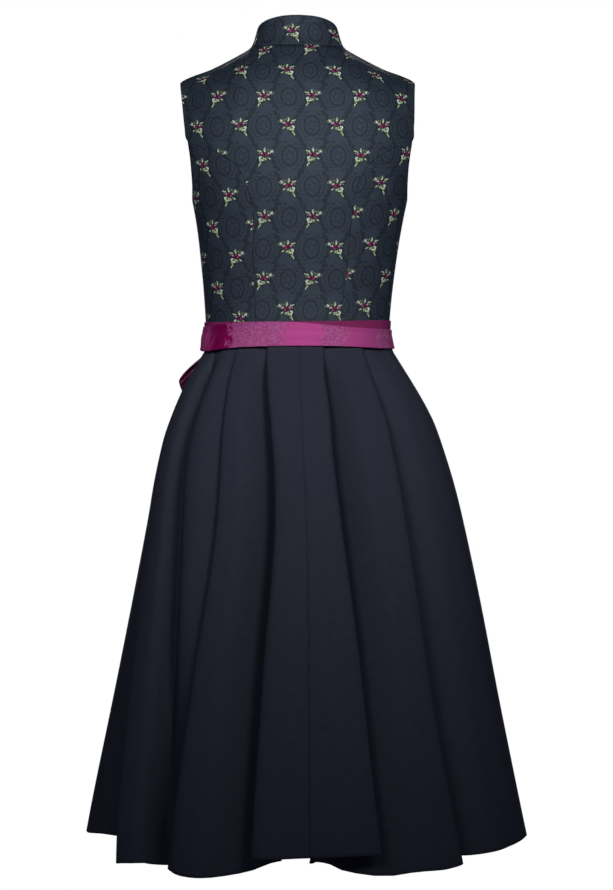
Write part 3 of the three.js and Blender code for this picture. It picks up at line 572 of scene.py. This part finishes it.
# ---- Fronts ----
# Two fronts, closed edge to edge at centre front under the buttons, from the waist to the low
# point of the collar seam. The same brocade, shaped over the bust by the princess seams.
COLLAR_END = 177  # angle at which the collar's front corners stand
CENTRE_FRONT_GAP = 0.05
FRONT_NECK_STEPS = 6
FRONT_TOP_STEPS = SHOULDER_STEPS + FRONT_NECK_STEPS + 1
for name, cad_node, side in [("bodice_front_left", "front_left", -1),
                             ("bodice_front_right", "front_right", 1)]:
    way = np.linspace(0, FRONT_TOP_STEPS, FRONT_TOP_STEPS * FINE_ROWS + 1)
    neck_angle = np.interp(way, [SHOULDER_STEPS, FRONT_TOP_STEPS - 1, FRONT_TOP_STEPS],
                           [90, COLLAR_END, 180 - CENTRE_FRONT_GAP])
    seam_x = mix(SHOULDER_TIP, NECK_HALF_WIDTH, np.clip(way / SHOULDER_STEPS, 0, 1))
    on_neck = (way >= SHOULDER_STEPS)[:, None]
    target = np.where(on_neck, neckline(neck_angle)[0], shoulder_seam(seam_x))
    top = np.stack([turn_at(target[:, 0], target[:, 2], True), target[:, 2]], -1)
    princess = np.stack([PRINCESS_FRONT["turn"], PRINCESS_FRONT["height"]], -1)
    hole = np.stack([UPPER_ARMHOLE["front"], UPPER_ARMHOLE["height"]], -1)
    armhole = np.concatenate([princess, hole, top[:1]])
    centre = top[-1, 0]
    up_shares = evenly((len(armhole) - 1) * FINE_ROWS)
    opening = armhole.copy()
    opening[:, 0] = centre
    drop = (armhole[:, 1] - WAIST) / (armhole[-1, 1] - WAIST)
    opening[:, 1] = mix(WAIST, top[-1, 1], drop)
    across = way / FRONT_TOP_STEPS
    bottom = np.stack([mix(princess[0, 0], centre, across), 0 * way + WAIST], -1)
    edges = [edge * (side, 1) for edge in (bottom, top)]
    sides = [through(edge, up_shares) * (side, 1) for edge in (armhole, opening)]
    points, place = patch(across, up_shares, *edges, *sides, target * (side, 1, 1),
                          SEAM_ROWS / (len(armhole) - 1))
    points, place = points[:, ::side], place[:, ::side]
    points = relax(points, 60, near_shoulder(up_shares) + 0 * way)
    uv = cloth_map(place, 180 * side, (-30, -170))
    creases = [
        (30 - side * 105, -60, 60 * side, 45, 9, -0.8), (30 - side * 80, -150, 90, 60, 10, 0.7),
    ]
    bodice_panel(name, cad_node, points, uv, creases)

# ---- Collar ----
# A stand collar in one piece, seamed to the neckline and open at centre front, with rounded
# front corners. Brocade over a firm interlining, so it stands and leans in a little.
COLLAR_CORNER = 9  # how far the front corners are rounded down
RIM_HALF_WIDTH = 57
RIM_HEIGHT = 79.6  # at the nape; it falls by RIM_FALL towards the front
RIM_FALL = 39.6
COLLAR_HOLLOW = 2.2  # how far its middle curves in between foot and rim
COLLAR_RISE = 42
MAP_ROW = 12  # the row whose length the pattern follows
angles = np.linspace(-COLLAR_END, COLLAR_END, 145)
angles = np.sort(np.concatenate([angles, [-90, 90]]))
heights = evenly(26)[:, None]
s, c = np.sin(np.radians(angles)), np.cos(np.radians(angles))
foot = neckline(angles)[0]
corner = COLLAR_CORNER * np.maximum(0, (np.abs(angles) - 150) / (COLLAR_END - 150)) ** 3
rim = np.stack([RIM_HALF_WIDTH * s, np.where(c > 0, -40, -60) * c + 4,
                RIM_HEIGHT - RIM_FALL * ((1 - c) / 2) ** 1.15 - corner], -1)
radial = np.stack([s, -c, 0 * s], -1)
points = mix(foot, rim, heights[..., None])
points = points - radial * (COLLAR_HOLLOW * np.sin(np.pi * np.sqrt(heights)))[..., None]
around = walk(points, 1)[MAP_ROW]
around = around - around[len(angles) // 2]
uv = np.stack([around + 0 * heights, COLLAR_RISE * heights + 0 * around], -1) - (-8, 18)
COLLAR_CREASES = [
    (-30, 10, 80, 20, 6, -0.7), (24, 14, 100, 20, 7, -0.6), (60, 5, 60, 18, 5, 0.6),
]
lift = ripples(uv, COLLAR_CREASES) - edge_roll(points, sides="b", depth=0.8)
points = points + surface_normals(points) * lift[..., None]
collar = cloth("collar_stand", points, uv, brocade, "collar", BODICE_CLOTH)

# ---- Skirt ----
# A wide flared skirt in three pieces, seamed at centre back and at the sides, whose folds are
# laid in at the waist and open out as they fall. One layer of fine matte cloth, blind-hemmed.
CENTRE_SEAM = 1  # turn of the seam at centre back
SEAM = 0.3
SKIRT_CLOTH = 1.0
SKIRT_BACK_CUT = (0.62, 0.74)
SKIRT_FRONT_CUT = (1.24, 0.74)
SKIRT = columns("height centre half_width back front", [
    [-1110, 13, 318, 288, 276], [-1022, 11.5, 301, 272, 262], [-881, 11, 273, 246, 238],
    [-740, 10.5, 246.5, 222, 214], [-627, 8.5, 224.5, 200, 194], [-571, 6, 213, 188, 184],
    [-515, 3.5, 198, 170, 168], [-486, 3, 187.5, 158, 157], [-458, 1.5, 174.5, 142, 143],
    [-430, 0, 159.5, 124, 127], [-402, 0, 142, 103, 108], [-388, 0, 134, 91, 98],
    [WAIST, 0, 129, 84, 92],
])
FOLD_NAMES = ("waist", "upper", "lower", "hem", "width", "far_width", "waist_depth", "hem_depth",
              "waist_lean", "hem_lean", "beside", "soft")
FOLDS = [dict(zip(FOLD_NAMES, fold)) for fold in [
    [-84, -84, -75.5, -66.5, 5, 3, 3, 25, 1, 10, -4, 10],
    [-59, -58, -50.5, -45, 3.6, 5.5, 14, 42, -3, -5.5, -4, 10],
    [-45, -37.5, -41, -43.5, 3.6, 3.6, 8, 18, 2, 2, -5, 8],
    [-27.5, -19, -22, -24, 5.5, 2.8, 22, 72, 6, 15, -6, 10],
    [24, 22, 27, 30.5, 5.6, 2.6, 24, 72, -6, -29, 6, 10],
    [51.5, 49.5, 51, 54.6, 6, 5, 18, 76, -6, -12, 9, 14],
    [104, 106, 107, 108, 6, 5, 3, 26, 3, 8, 5, 8],
    [126, 127, 128, 130, 5.5, 4, 4, 30, 4, 10, 6, 9],
    [149, 150, 152, 153, 5.5, 4, 4, 24, -3, -8, -6, 9],
    [172, 174, 174, 175, 6, 5, 4, 30, 4, 10, 6, 8],
    [196, 195, 197, 199, 5.5, 4, 4, 26, -4, -9, -6, 9],
    [219, 219, 222, 224, 6, 5, 4, 30, -3, -10, -6, 9],
    [243, 242, 246, 248, 5.5, 4, 3, 22, 3, 7, 5, 8],
]]
HEM = columns("turn height", [
    [-90, -1062], [-82, -1060.5], [-76, -1057.5], [-69, -1055], [-66.5, -1060], [-62, -1080],
    [-59, -1087], [-55, -1086], [-49.5, -1085], [-48, -1088], [-46, -1091], [-42, -1091],
    [-38, -1087.5], [-36, -1090], [-34, -1093], [-30, -1095], [-28, -1095], [-27, -1093],
    [-26, -1089], [-25, -1081], [-23, -1078], [-20, -1070], [-16, -1066], [-8, -1066],
    [0, -1064], [20, -1062], [24, -1066], [27, -1069], [29, -1081], [31.5, -1080],
    [31.95, -1088], [32.8, -1094], [33.4, -1093], [34, -1089], [35, -1087.5], [38, -1086.5],
    [42, -1083.5], [45, -1081], [50, -1078], [59, -1078], [62, -1075], [66, -1072],
    [70, -1069.5], [74, -1067], [80, -1065], [90, -1068], [180, -1068], [270, -1062],
])


def skirt_base(turn, height):
    """The skirt's surface without folds. At the waist it meets the body's."""
    cosine = np.cos(np.radians(turn))
    depth = section_depth(SKIRT, height, cosine)
    half_width = along(SKIRT, "height", height, "half_width")
    x = along(SKIRT, "height", height, "centre") + half_width * np.sin(np.radians(turn))
    y = -np.sign(cosine) * depth * np.abs(cosine) ** SECTION
    return np.stack(np.broadcast_arrays(x, y, height), -1)


def valley_turn(fold, s):
    """Turn of a fold's valley at shares s of the skirt's drop."""
    stops = {"s": np.array([0, 0.27, 0.65, 1])}
    stops["turn"] = np.array([fold[name] for name in ("waist", "upper", "lower", "hem")], float)
    return along(stops, "s", s, "turn")


def skirt(turn, s):
    """The folded skirt: each valley pushes the cloth in, and draws it sideways by its lean. The
    cloth beside it sinks softly towards the fold."""
    push, lean = 0, 0
    grown = s**0.8
    laid = mix(0.15, 1, ease(13 * s - 0.3))
    for fold in FOLDS:
        for lap in (-360, 0, 360):
            off = turn - valley_turn(fold, s) - lap
            width = np.where(off * fold["hem_lean"] < 0, fold["far_width"], fold["width"])
            share = np.exp(-((off / width) ** 2))
            beside = np.exp(-(((off - fold["beside"]) / 9) ** 2))
            push = push + mix(fold["waist_depth"], fold["hem_depth"], grown) * share * laid
            push = push + mix(0.35, 1, grown) * fold["soft"] * beside
            lean = lean + mix(fold["waist_lean"], fold["hem_lean"], s**2.2) * share
    wrapped = np.where(turn > 270, turn - 360, turn)
    height = mix(WAIST - SEAM, along(HEM, "turn", wrapped, "height"), s)
    point = skirt_base(turn + lean, height)
    axis = along(SKIRT, "height", height, "centre")
    inward = unit(np.stack([axis - point[..., 0], -point[..., 1], 0 * axis], -1))
    return point + inward * push[..., None]


def fold_columns(start, end, s, steps):
    """Turns of the skirt's columns: they follow the valleys and lie closest beside them."""
    folds = [fold for fold in FOLDS if start < fold["hem"] < end]
    knots = [start + 0 * s] + [valley_turn(fold, s) for fold in folds] + [end + 0 * s]
    share = evenly(steps)
    share = share - 0.11 * np.sin(2 * np.pi * share)
    spans = [mix(a, b, share[1:]) for a, b in zip(knots, knots[1:])]
    return np.concatenate([knots[0], *spans], axis=1)


def lengths(points):
    """Cloth coordinates in mm: the way along each row and down each column."""
    u, v = walk(points, 1), walk(points, 0)
    return np.stack([u - u[:, -1:] / 2, v], -1)


# Plain-woven viscose and wool with a slubby yarn, dyed navy and pressed dull. To the eye: matte,
# almost no gloss, with faint uneven threads both ways and a little lighter bloom on the folds.
# Its threads are about 0.4 mm; they are drawn at about 1.5 mm so that they show.
skirt_navy, tree, cloth_mm = cloth_material("Navy_Plain_Weave")
yarns = []
for scale in ((0.75, 0.05, 1), (0.05, 0.75, 1)):
    yarn = node(tree, "Mapping", cloth_mm, sockets={"Scale": scale})
    yarn = node(tree, "TexNoise", yarn, sockets={"Scale": 1.0, "Detail": 3.0, "Roughness": 0.6})
    yarns.append(yarn)
threads = node(tree, "Math", *yarns, operation="ADD")
threads = node(tree, "MapRange", threads, 0.7, 1.3, 0.0, 1.0)
bloom = node(tree, "TexNoise", cloth_mm, sockets={"Scale": 0.02, "Detail": 2.0})
bloom = node(tree, "MapRange", bloom, 0.3, 0.7, 0.0, 0.35)
navy = node(tree, "Mix", threads, linear("#272934"), linear("#323441"), data_type="RGBA")
navy = node(tree, "Mix", bloom, navy, linear("#2b2d38"), data_type="RGBA")
finish(tree, navy, threads, 0.25, 0.0003, Roughness=0.85, Specular_IOR_Level=0.12)

drops = evenly(110)[::-1, None]
SKIRT_PIECES = [  # name, node, from, to, columns from fold to fold, cut, its area
    ("skirt_back_left_piece", "skirt_back_left", -SIDE, CENTRE_SEAM, 30, SKIRT_BACK_CUT, 0.30),
    ("skirt_back_right_piece", "skirt_back_right", CENTRE_SEAM, SIDE, 40, SKIRT_BACK_CUT, 0.30),
    ("skirt_front_piece", "skirt_front", SIDE, 360 - SIDE, 26, SKIRT_FRONT_CUT, 0.60),
]
for name, cad_node, start, end, steps, cut, cut_area in SKIRT_PIECES:
    turns = fold_columns(start, end, drops, steps)
    points = skirt(turns, drops + 0 * turns)
    uv = lengths(points)
    roll = edge_roll(points, sides="lr", depth=1.2, reach=2.0)
    points = points - surface_normals(points) * roll[..., None]
    piece = cloth(name, points, uv, skirt_navy, cad_node, SKIRT_CLOTH)

# ---- Apron ----
# A rectangle of soft satin gathered on to a narrow band, which hangs over the skirt's front and
# stops short of its hem. The gathers are small and close at the band and merge as they fall.
LAYER = 0.8  # room between one layer of cloth and the next
BAND_BOTTOM = -386
APRON_HALF_TURN = 70
APRON_HEM = -1012
APRON_GATHERS = 13
APRON_CLOTH = 0.8

# Polyester satin, dyed berry and washed soft. To the eye: a broad gloss down each gather, with a
# fine lengthwise slub; its threads are drawn at about 1 mm so that they show.
apron_satin, tree, cloth_mm = cloth_material("Berry_Satin")
slub = node(tree, "Mapping", cloth_mm, sockets={"Scale": (0.9, 0.03, 1)})
slub = node(tree, "TexNoise", slub, sockets={"Scale": 1.0, "Detail": 2.0})
berry = node(tree, "Mix", slub, linear("#6a1d45"), linear("#84285a"), data_type="RGBA")
finish(tree, berry, slub, 0.2, 0.0003, Roughness=0.42, Specular_IOR_Level=0.5,
       Sheen_Weight=0.25, Sheen_Roughness=0.35)

s = evenly(90)[::-1, None]
u = np.linspace(-1, 1, APRON_GATHERS * 18 + 1)[None, :]
turns = 180 + u * APRON_HALF_TURN * mix(1, 0.93, s)
height = mix(BAND_BOTTOM - SEAM, APRON_HEM + 8 * u * u, s)
wander = u + 0.03 * np.sin(7 * u + 4 * s)
wave = (1 + np.cos(np.pi * APRON_GATHERS * wander)) / 2
base = skirt_base(turns, height)
fine = np.exp(-s * 7) * np.sin(np.pi * APRON_GATHERS * 3 * u + 2 * np.sin(9 * u)) * ease(12 * s)
lift = LAYER + 2.5 * ease(8 * s) + mix(1, 8, ease(s)) * wave + fine + 1.6
points = base + surface_normals(base) * lift[..., None]
apron = cloth("apron_skirt", points, lengths(points), apron_satin,
              "apron_panel", APRON_CLOTH)

# ---- Ribbon and waistband ----
# The apron's band across the front and the ribbon that is sewn to it: from each side it goes
# round the back, crosses itself, comes forward again and is tied. Jacquard satin ribbon.
RIBBON_CLOTH = 0.8
RIBBON_ROOM = 1.2  # the room that one layer of it takes
INNER_LIFT = LAYER
OUTER_LIFT = INNER_LIFT + RIBBON_ROOM + LAYER
BAND_TOP = -347
BAND_HALF_TURN = 76
RIBBON_JOIN = 97
RIBBON_START = -123  # turn of the ribbon's two ends, either side of the knot
RIBBON_END = 229
RIBBON = columns("turn top bottom outer_top outer_bottom", [
    [-135, -349, -385, -349, -385.5], [-112, -349, -384, -350, -383],
    [-90, -349, -381, -356, -382], [-80, -349.5, -384, -356, -389],
    [-66, -350, -386, -355, -391], [-45, -351, -384, -353, -387.5],
    [-30, -351, -383, -351.5, -386], [0, -351, -383, -352, -385],
    [30, -350, -383, -358, -385.5], [60, -348, -384, -360, -387],
    [90, -347, -384, -360, -385.5], [110, -347, -385, -358, -385.5],
    [130, -348, -385, -356, -385.5], [180, -349, -385, -352, -385.5],
    [225, -349, -385, -350, -385.5],
])


def outside(turn, height):
    """The dress's surface above or below the waist."""
    turn, height = np.broadcast_arrays(turn, height)
    above = (height > WAIST)[..., None]
    return np.where(above, torso(turn, height), skirt_base(turn, height))


# Viscose satin ribbon with figured clusters of small blossoms, dyed magenta. To the eye: bright
# where the satin faces the light and deep wine where it turns away; the clusters are mottled.
ribbon_satin, tree, cloth_mm = cloth_material("Magenta_Figured_Satin")
blossom = node(tree, "TexVoronoi", cloth_mm, sockets={"Scale": 0.4, "Randomness": 1.0})
blossom = node(tree, "MapRange", blossom, 0.2, 0.7, 1.0, 0.0)
thread = node(tree, "Mapping", cloth_mm, sockets={"Scale": (0.15, 1.2, 1)})
thread = node(tree, "TexNoise", thread, sockets={"Scale": 1.0, "Detail": 2.0})
ragged = node(tree, "TexNoise", cloth_mm, sockets={
    "Scale": 0.11, "Detail": 4.0, "Roughness": 0.75})
run = node(tree, "SeparateXYZ", cloth_mm).outputs[0]
lengthwise = node(tree, "Math", ragged, 80.0, run, operation="MULTIPLY_ADD")
CLUSTERS = [(-205, 28), (9, 37), (117, 18), (196, 16), (262, 34)]  # place and reach lengthwise
patches = 0.0
for middle, reach in CLUSTERS:
    cluster = node(tree, "Math", lengthwise, float(middle), float(reach), operation="COMPARE")
    patches = node(tree, "Math", cluster, patches, operation="MAXIMUM")
# Painted shade: deep wine is painted on the left part of each ribbon piece, past a ragged edge some
# 40 to 115 mm left of its middle, in place of the shade where the satin turns away from the light.
# From about 96 to 124 mm left it fades to a quarter, so that the creases there show.
painted_shade = node(tree, "MapRange", lengthwise, -37.0, -29.0, 1.0, 0.0)
less_shade_at_end = node(tree, "MapRange", run, -124.0, -96.0, 0.25, 1.0)
painted_shade = node(tree, "Math", painted_shade, less_shade_at_end, operation="MULTIPLY")
mottle = node(tree, "Math", patches, blossom, operation="MULTIPLY")
plain = node(tree, "Mix", thread, linear("#a0407a"), linear("#ac4884"), data_type="RGBA")
plain = node(tree, "Mix", painted_shade, plain, linear("#7a0a4a"), data_type="RGBA")
figured = node(tree, "Mix", patches, plain, linear("#a65788"), data_type="RGBA")
magenta = node(tree, "Mix", mottle, figured, linear("#8d3a6e"), data_type="RGBA")
gloss = node(tree, "Mix", patches, 0.58, 0.64, data_type="FLOAT")
relief = node(tree, "Math", mottle, 1.0, thread, operation="MULTIPLY_ADD")
finish(tree, magenta, relief, 0.3, 0.0004, Metallic=0.35, Roughness=gloss,
       Specular_IOR_Level=0.0)

# The layer of ribbon wound underneath: dull, and coloured deep wine all over as painted shade, for
# where that layer tilts away from the light.
under_layer_shaded_satin, tree, cloth_mm = cloth_material("Wine_Satin_Painted_Shade")
thread = node(tree, "TexNoise", cloth_mm, sockets={"Scale": 0.4, "Detail": 3.0})
wine = node(tree, "Mix", thread, linear("#580a38"), linear("#8a3064"), data_type="RGBA")
finish(tree, wine, thread, 0.3, 0.0003, Roughness=0.7, Specular_IOR_Level=0.1)


def strip(start, end, top, bottom, lift):
    """A strip round the waist, `lift` mm off the dress."""
    turns = np.linspace(start, end, int((end - start) / 0.75) + 1)[None, :]
    share = evenly(20)[:, None]
    height = mix(bottom(turns), top(turns), share)
    base = outside(turns, height)
    normals = surface_normals(base) * (1, 1, 0)
    return base + unit(normals) * lift, turns, share


def ribbon_edge(name):
    return lambda turn: along(RIBBON, "turn", turn, name)


def level(height):
    return lambda turn: height + 0 * turn


band_right, band_left = 180 - BAND_HALF_TURN, BAND_HALF_TURN - 180
RIBBON_CREASES = [  # along, up, heading, length, width, height
    (-136, 2, 74, 16, 2.6, 3.0), (-129, -5, 62, 15, 2.4, -2.2), (-121, 4, 66, 17, 2.6, 3.0),
    (-113, -2, 72, 15, 2.4, -2.4), (-105, -4, 54, 17, 2.6, 2.6), (-97, 6, 44, 12, 2.4, -1.8),
    (-88, -8, 34, 16, 2.8, 1.6), (-80, 10, 3, 40, 3.0, -0.8),
    (10, -10, 178, 80, 3.5, 0.5), (95, 2, 4, 50, 3.0, -0.5), (150, -4, 172, 30, 3.0, 0.6),
]
STRIPS = [  # name, node, from, to, top, bottom, lift, material, slot, cut
    ("apron_band", "apron_waistband", band_right, 180 + BAND_HALF_TURN,
     level(BAND_TOP), level(BAND_BOTTOM), INNER_LIFT, apron_satin, "apron_cloth", (0.36, 0.039)),
    ("ribbon_under_layer", "ribbon_back_inner", band_left + 0.5, band_right - 0.5,
     ribbon_edge("top"), ribbon_edge("bottom"), INNER_LIFT, under_layer_shaded_satin, "ribbon", (0.42, 0.036)),
    ("ribbon_over_layer", "ribbon_back_outer", RIBBON_START, RIBBON_JOIN - 0.1,
     ribbon_edge("outer_top"), ribbon_edge("outer_bottom"), OUTER_LIFT, ribbon_satin, "ribbon",
     (0.45, 0.036)),
    ("ribbon_over_band", "ribbon_front", RIBBON_JOIN + 0.1, RIBBON_END,
     ribbon_edge("outer_top"), ribbon_edge("outer_bottom"), OUTER_LIFT, ribbon_satin, "ribbon",
     (0.30, 0.034)),
]
for name, cad_node, start, end, top, bottom, lift, material, slot, cut in STRIPS:
    points, turns, share = strip(start, end, top, bottom, lift + RIBBON_ROOM)
    uv = lengths(points) - (0, 18)
    if name == "ribbon_over_layer":
        points = points + surface_normals(points) * ripples(uv, RIBBON_CREASES)[..., None]
    piece = cloth(name, points, uv, material, cad_node, RIBBON_CLOTH)

# ---- Bow ----
# The ribbon's ends tied in a bow at the left front: a knot, two loops that lie out from it, and
# two free ends that hang over the skirt, cut on a slant. The same ribbon.
BOW_TURN = 233  # the knot's turn and height
BOW_HEIGHT = -369
TAIL_WIDTH = 42
TAIL_SLANT = 12  # how much longer than the middle an end's long edge is cut
BOW_CLEAR = OUTER_LIFT + RIBBON_ROOM + LAYER


def bow_point(across, up, lift):
    """A point by its way across (+ towards centre front) and up from the knot, and its lift."""
    across, up, lift = np.broadcast_arrays(across, up, lift)
    height = BOW_HEIGHT + up
    reach = along(SKIRT, "height", np.minimum(height, WAIST), "half_width")
    turn = BOW_TURN - np.degrees(across / reach)
    side = outside(turn + 0.5, height) - outside(turn - 0.5, height)
    rise = outside(turn, height + 6) - outside(turn, height - 6)
    return outside(turn, height) + unit(np.cross(side, rise)) * lift[..., None]


LOOPS = [  # name, node, heading, offset, length, opening, clear
    ("bow_loop_back", "bow_loop_side", 240, 12.5, 77, 11, BOW_CLEAR + 2.6),
    ("bow_loop_forward", "bow_loop_front", -22, 10.6, 88, 18, BOW_CLEAR + 10),
]
for name, cad_node, heading, offset, length, opening, clear in LOOPS:
    dx, dy = math.cos(math.radians(heading)), math.sin(math.radians(heading))
    t = mix(0.03, 0.97, evenly(90))[None, :] * 2 * np.pi
    v = np.linspace(-1, 1, 19)[:, None]
    out = (1 - np.cos(t)) / 2
    away = offset + length * out
    full = out * out
    raise_by = clear + opening * (mix(0.1, 0.55, full) + 0.5 * np.sin(t) * mix(0.18, 1, full))
    raise_by = raise_by + 1.2 * (1 - full) * np.cos(11 * v) * ease(out * 3)
    wide = 17 * v * mix(0.42, 1, ease(out)) + 2 * np.sin(9 * v) * (1 - out)
    points = bow_point(dx * away - dy * wide, dy * away + dx * wide, raise_by)
    loop = cloth(name, points, lengths(points), ribbon_satin, cad_node, RIBBON_CLOTH)

TAILS = [  # name, node, start, drift, length, clear, ripple
    ("bow_end_back", "bow_tail_side", 4, 22, 300, 4.7, 3),
    ("bow_end_forward", "bow_tail_front", 15, 75, 270, 8.6, 3),
]
for name, cad_node, start, drift, length, clear, ripple in TAILS:
    s = evenly(80)[::-1, None]
    v = np.linspace(-1, 1, 17)[None, :]
    wide = TAIL_WIDTH / 2 * v * mix(0.5, 1, ease(s * 4))
    down = -13 - s * (length + TAIL_SLANT * v)
    raise_by = clear + 10.5 * ease(s * 3) + ripple * np.sin(s * 7 + v * 0.8) * s + RIBBON_ROOM
    raise_by = raise_by + np.cos(8 * v) * (1 - ease(s * 2))
    points = bow_point(start + drift * s - wide, down, raise_by)
    tail = cloth(name, points, lengths(points), ribbon_satin, cad_node, RIBBON_CLOTH)

bm = bmesh.new()
bmesh.ops.create_uvsphere(bm, u_segments=32, v_segments=20, radius=1, calc_uvs=False)
for vert in bm.verts:
    x, y, z = [math.copysign(abs(t) ** 0.7, t) for t in vert.co]
    pinch = 0.6 * math.cos(9 * y)
    vert.co = bow_point(10 * x, 12 * y, BOW_CLEAR + 8.4 + (9 + pinch) * z) * MM
bmesh.ops.recalc_face_normals(bm, faces=bm.faces)
mesh = mesh_from(bm, "bow_knot_wrap")
mesh.uv_layers.new(name="Cloth")
mesh.polygons.foreach_set("use_smooth", [True] * len(mesh.polygons))
mesh.materials.append(ribbon_satin)
take_place(new_object("bow_knot_wrap", mesh), "bow_knot")

# ---- Buttons ----
# Seven domed metal buttons covered with plain navy cloth, sewn down centre front. Their CAD
# solids have the right form and stay, and each takes the cloth's finish.

# Plain cotton, dyed navy and drawn tight over the dome. To the eye: smoother than the skirt's
# cloth, with a grain of about 1 mm.
button_cloth, tree = bare(bpy.data.materials.new("Navy_Covered_Button"))
place = node(tree, "TexCoord").outputs["Object"]
grain = node(tree, "TexNoise", place, sockets={"Scale": 900.0, "Detail": 2.0})
colour = node(tree, "Mix", grain, linear("#1b2029"), linear("#2c3440"), data_type="RGBA")
finish(tree, colour, grain, 0.3, 0.0003, Roughness=0.55)
for k in range(1, 8):
    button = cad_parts[f"button_{k}"]
    button.data.materials.clear()
    button.data.materials.append(button_cloth)

# ---- Stage ----
# A pale round floor below the dress, a white surround, three large soft lights, two behind the
# wearer and one before, and the camera behind at the height of the skirt's upper third.
FLOOR_HEIGHT = -1.38
SPAN = 1.2549  # metres of the frame's long side at the dress
CAMERA = (0.0127, -4.0, -0.5217)
SENSOR = 36
bm = bmesh.new()
bmesh.ops.create_circle(bm, cap_ends=True, segments=96, radius=1.4)
for vert in bm.verts:
    vert.co.z = FLOOR_HEIGHT
mesh = mesh_from(bm, "floor")

# Matte paper. It brightens itself a little where it is seen directly, so that it stays pale.
pale, tree = bare(bpy.data.materials.new("Pale_Paper"))
paper = node(tree, "BsdfDiffuse", linear("#f2f2f2"))
lit_paper = node(tree, "Emission", linear("#f2f2f2"), 0.75)
bright = node(tree, "AddShader", paper, lit_paper)
path = node(tree, "LightPath")
both = node(tree, "MixShader", path.outputs["Is Camera Ray"], paper, bright)
node(tree, "OutputMaterial", both)
mesh.materials.append(pale)
new_object("floor", mesh)
scene = bpy.context.scene
scene.world, tree = bare(bpy.data.worlds.new("studio"))
seen = node(tree, "Background", linear("#ffffff"), 1.0)
fill = node(tree, "Background", linear("#c4d0ff"), 0.09)
path = node(tree, "LightPath")
both = node(tree, "MixShader", path.outputs["Is Camera Ray"], fill, seen)
node(tree, "OutputWorld", both)
LIGHTS = [  # name, place in metres, size, watts
    ("left_key", (-0.85, -2.95, 0.7), 0.9, 3.0), ("right_key", (1.05, -2.9, 0.7), 0.9, 3.8),
    ("far_key", (0.0, 3.2, 0.35), 2.2, 7.5),
]
LIT_POINT = mathutils.Vector((0, 0, -0.04))
for name, place, size, power in LIGHTS:
    light = bpy.data.lights.new(name, "AREA")
    light.size = size
    light.energy = power
    light.spread = math.radians(42)
    lamp = new_object(name, light)
    lamp.location = place
    lamp.rotation_euler = (LIT_POINT - lamp.location).to_track_quat("-Z", "Y").to_euler()
    lamp.visible_camera = False
lens = bpy.data.cameras.new("camera")
lens.sensor_width = SENSOR
lens.lens = SENSOR * abs(CAMERA[1]) / SPAN
camera = new_object("camera", lens)
camera.location = CAMERA
camera.rotation_euler = (math.pi / 2, 0, 0)
scene.camera = camera
scene.view_settings.view_transform = "Standard"

bpy.context.view_layer.update()
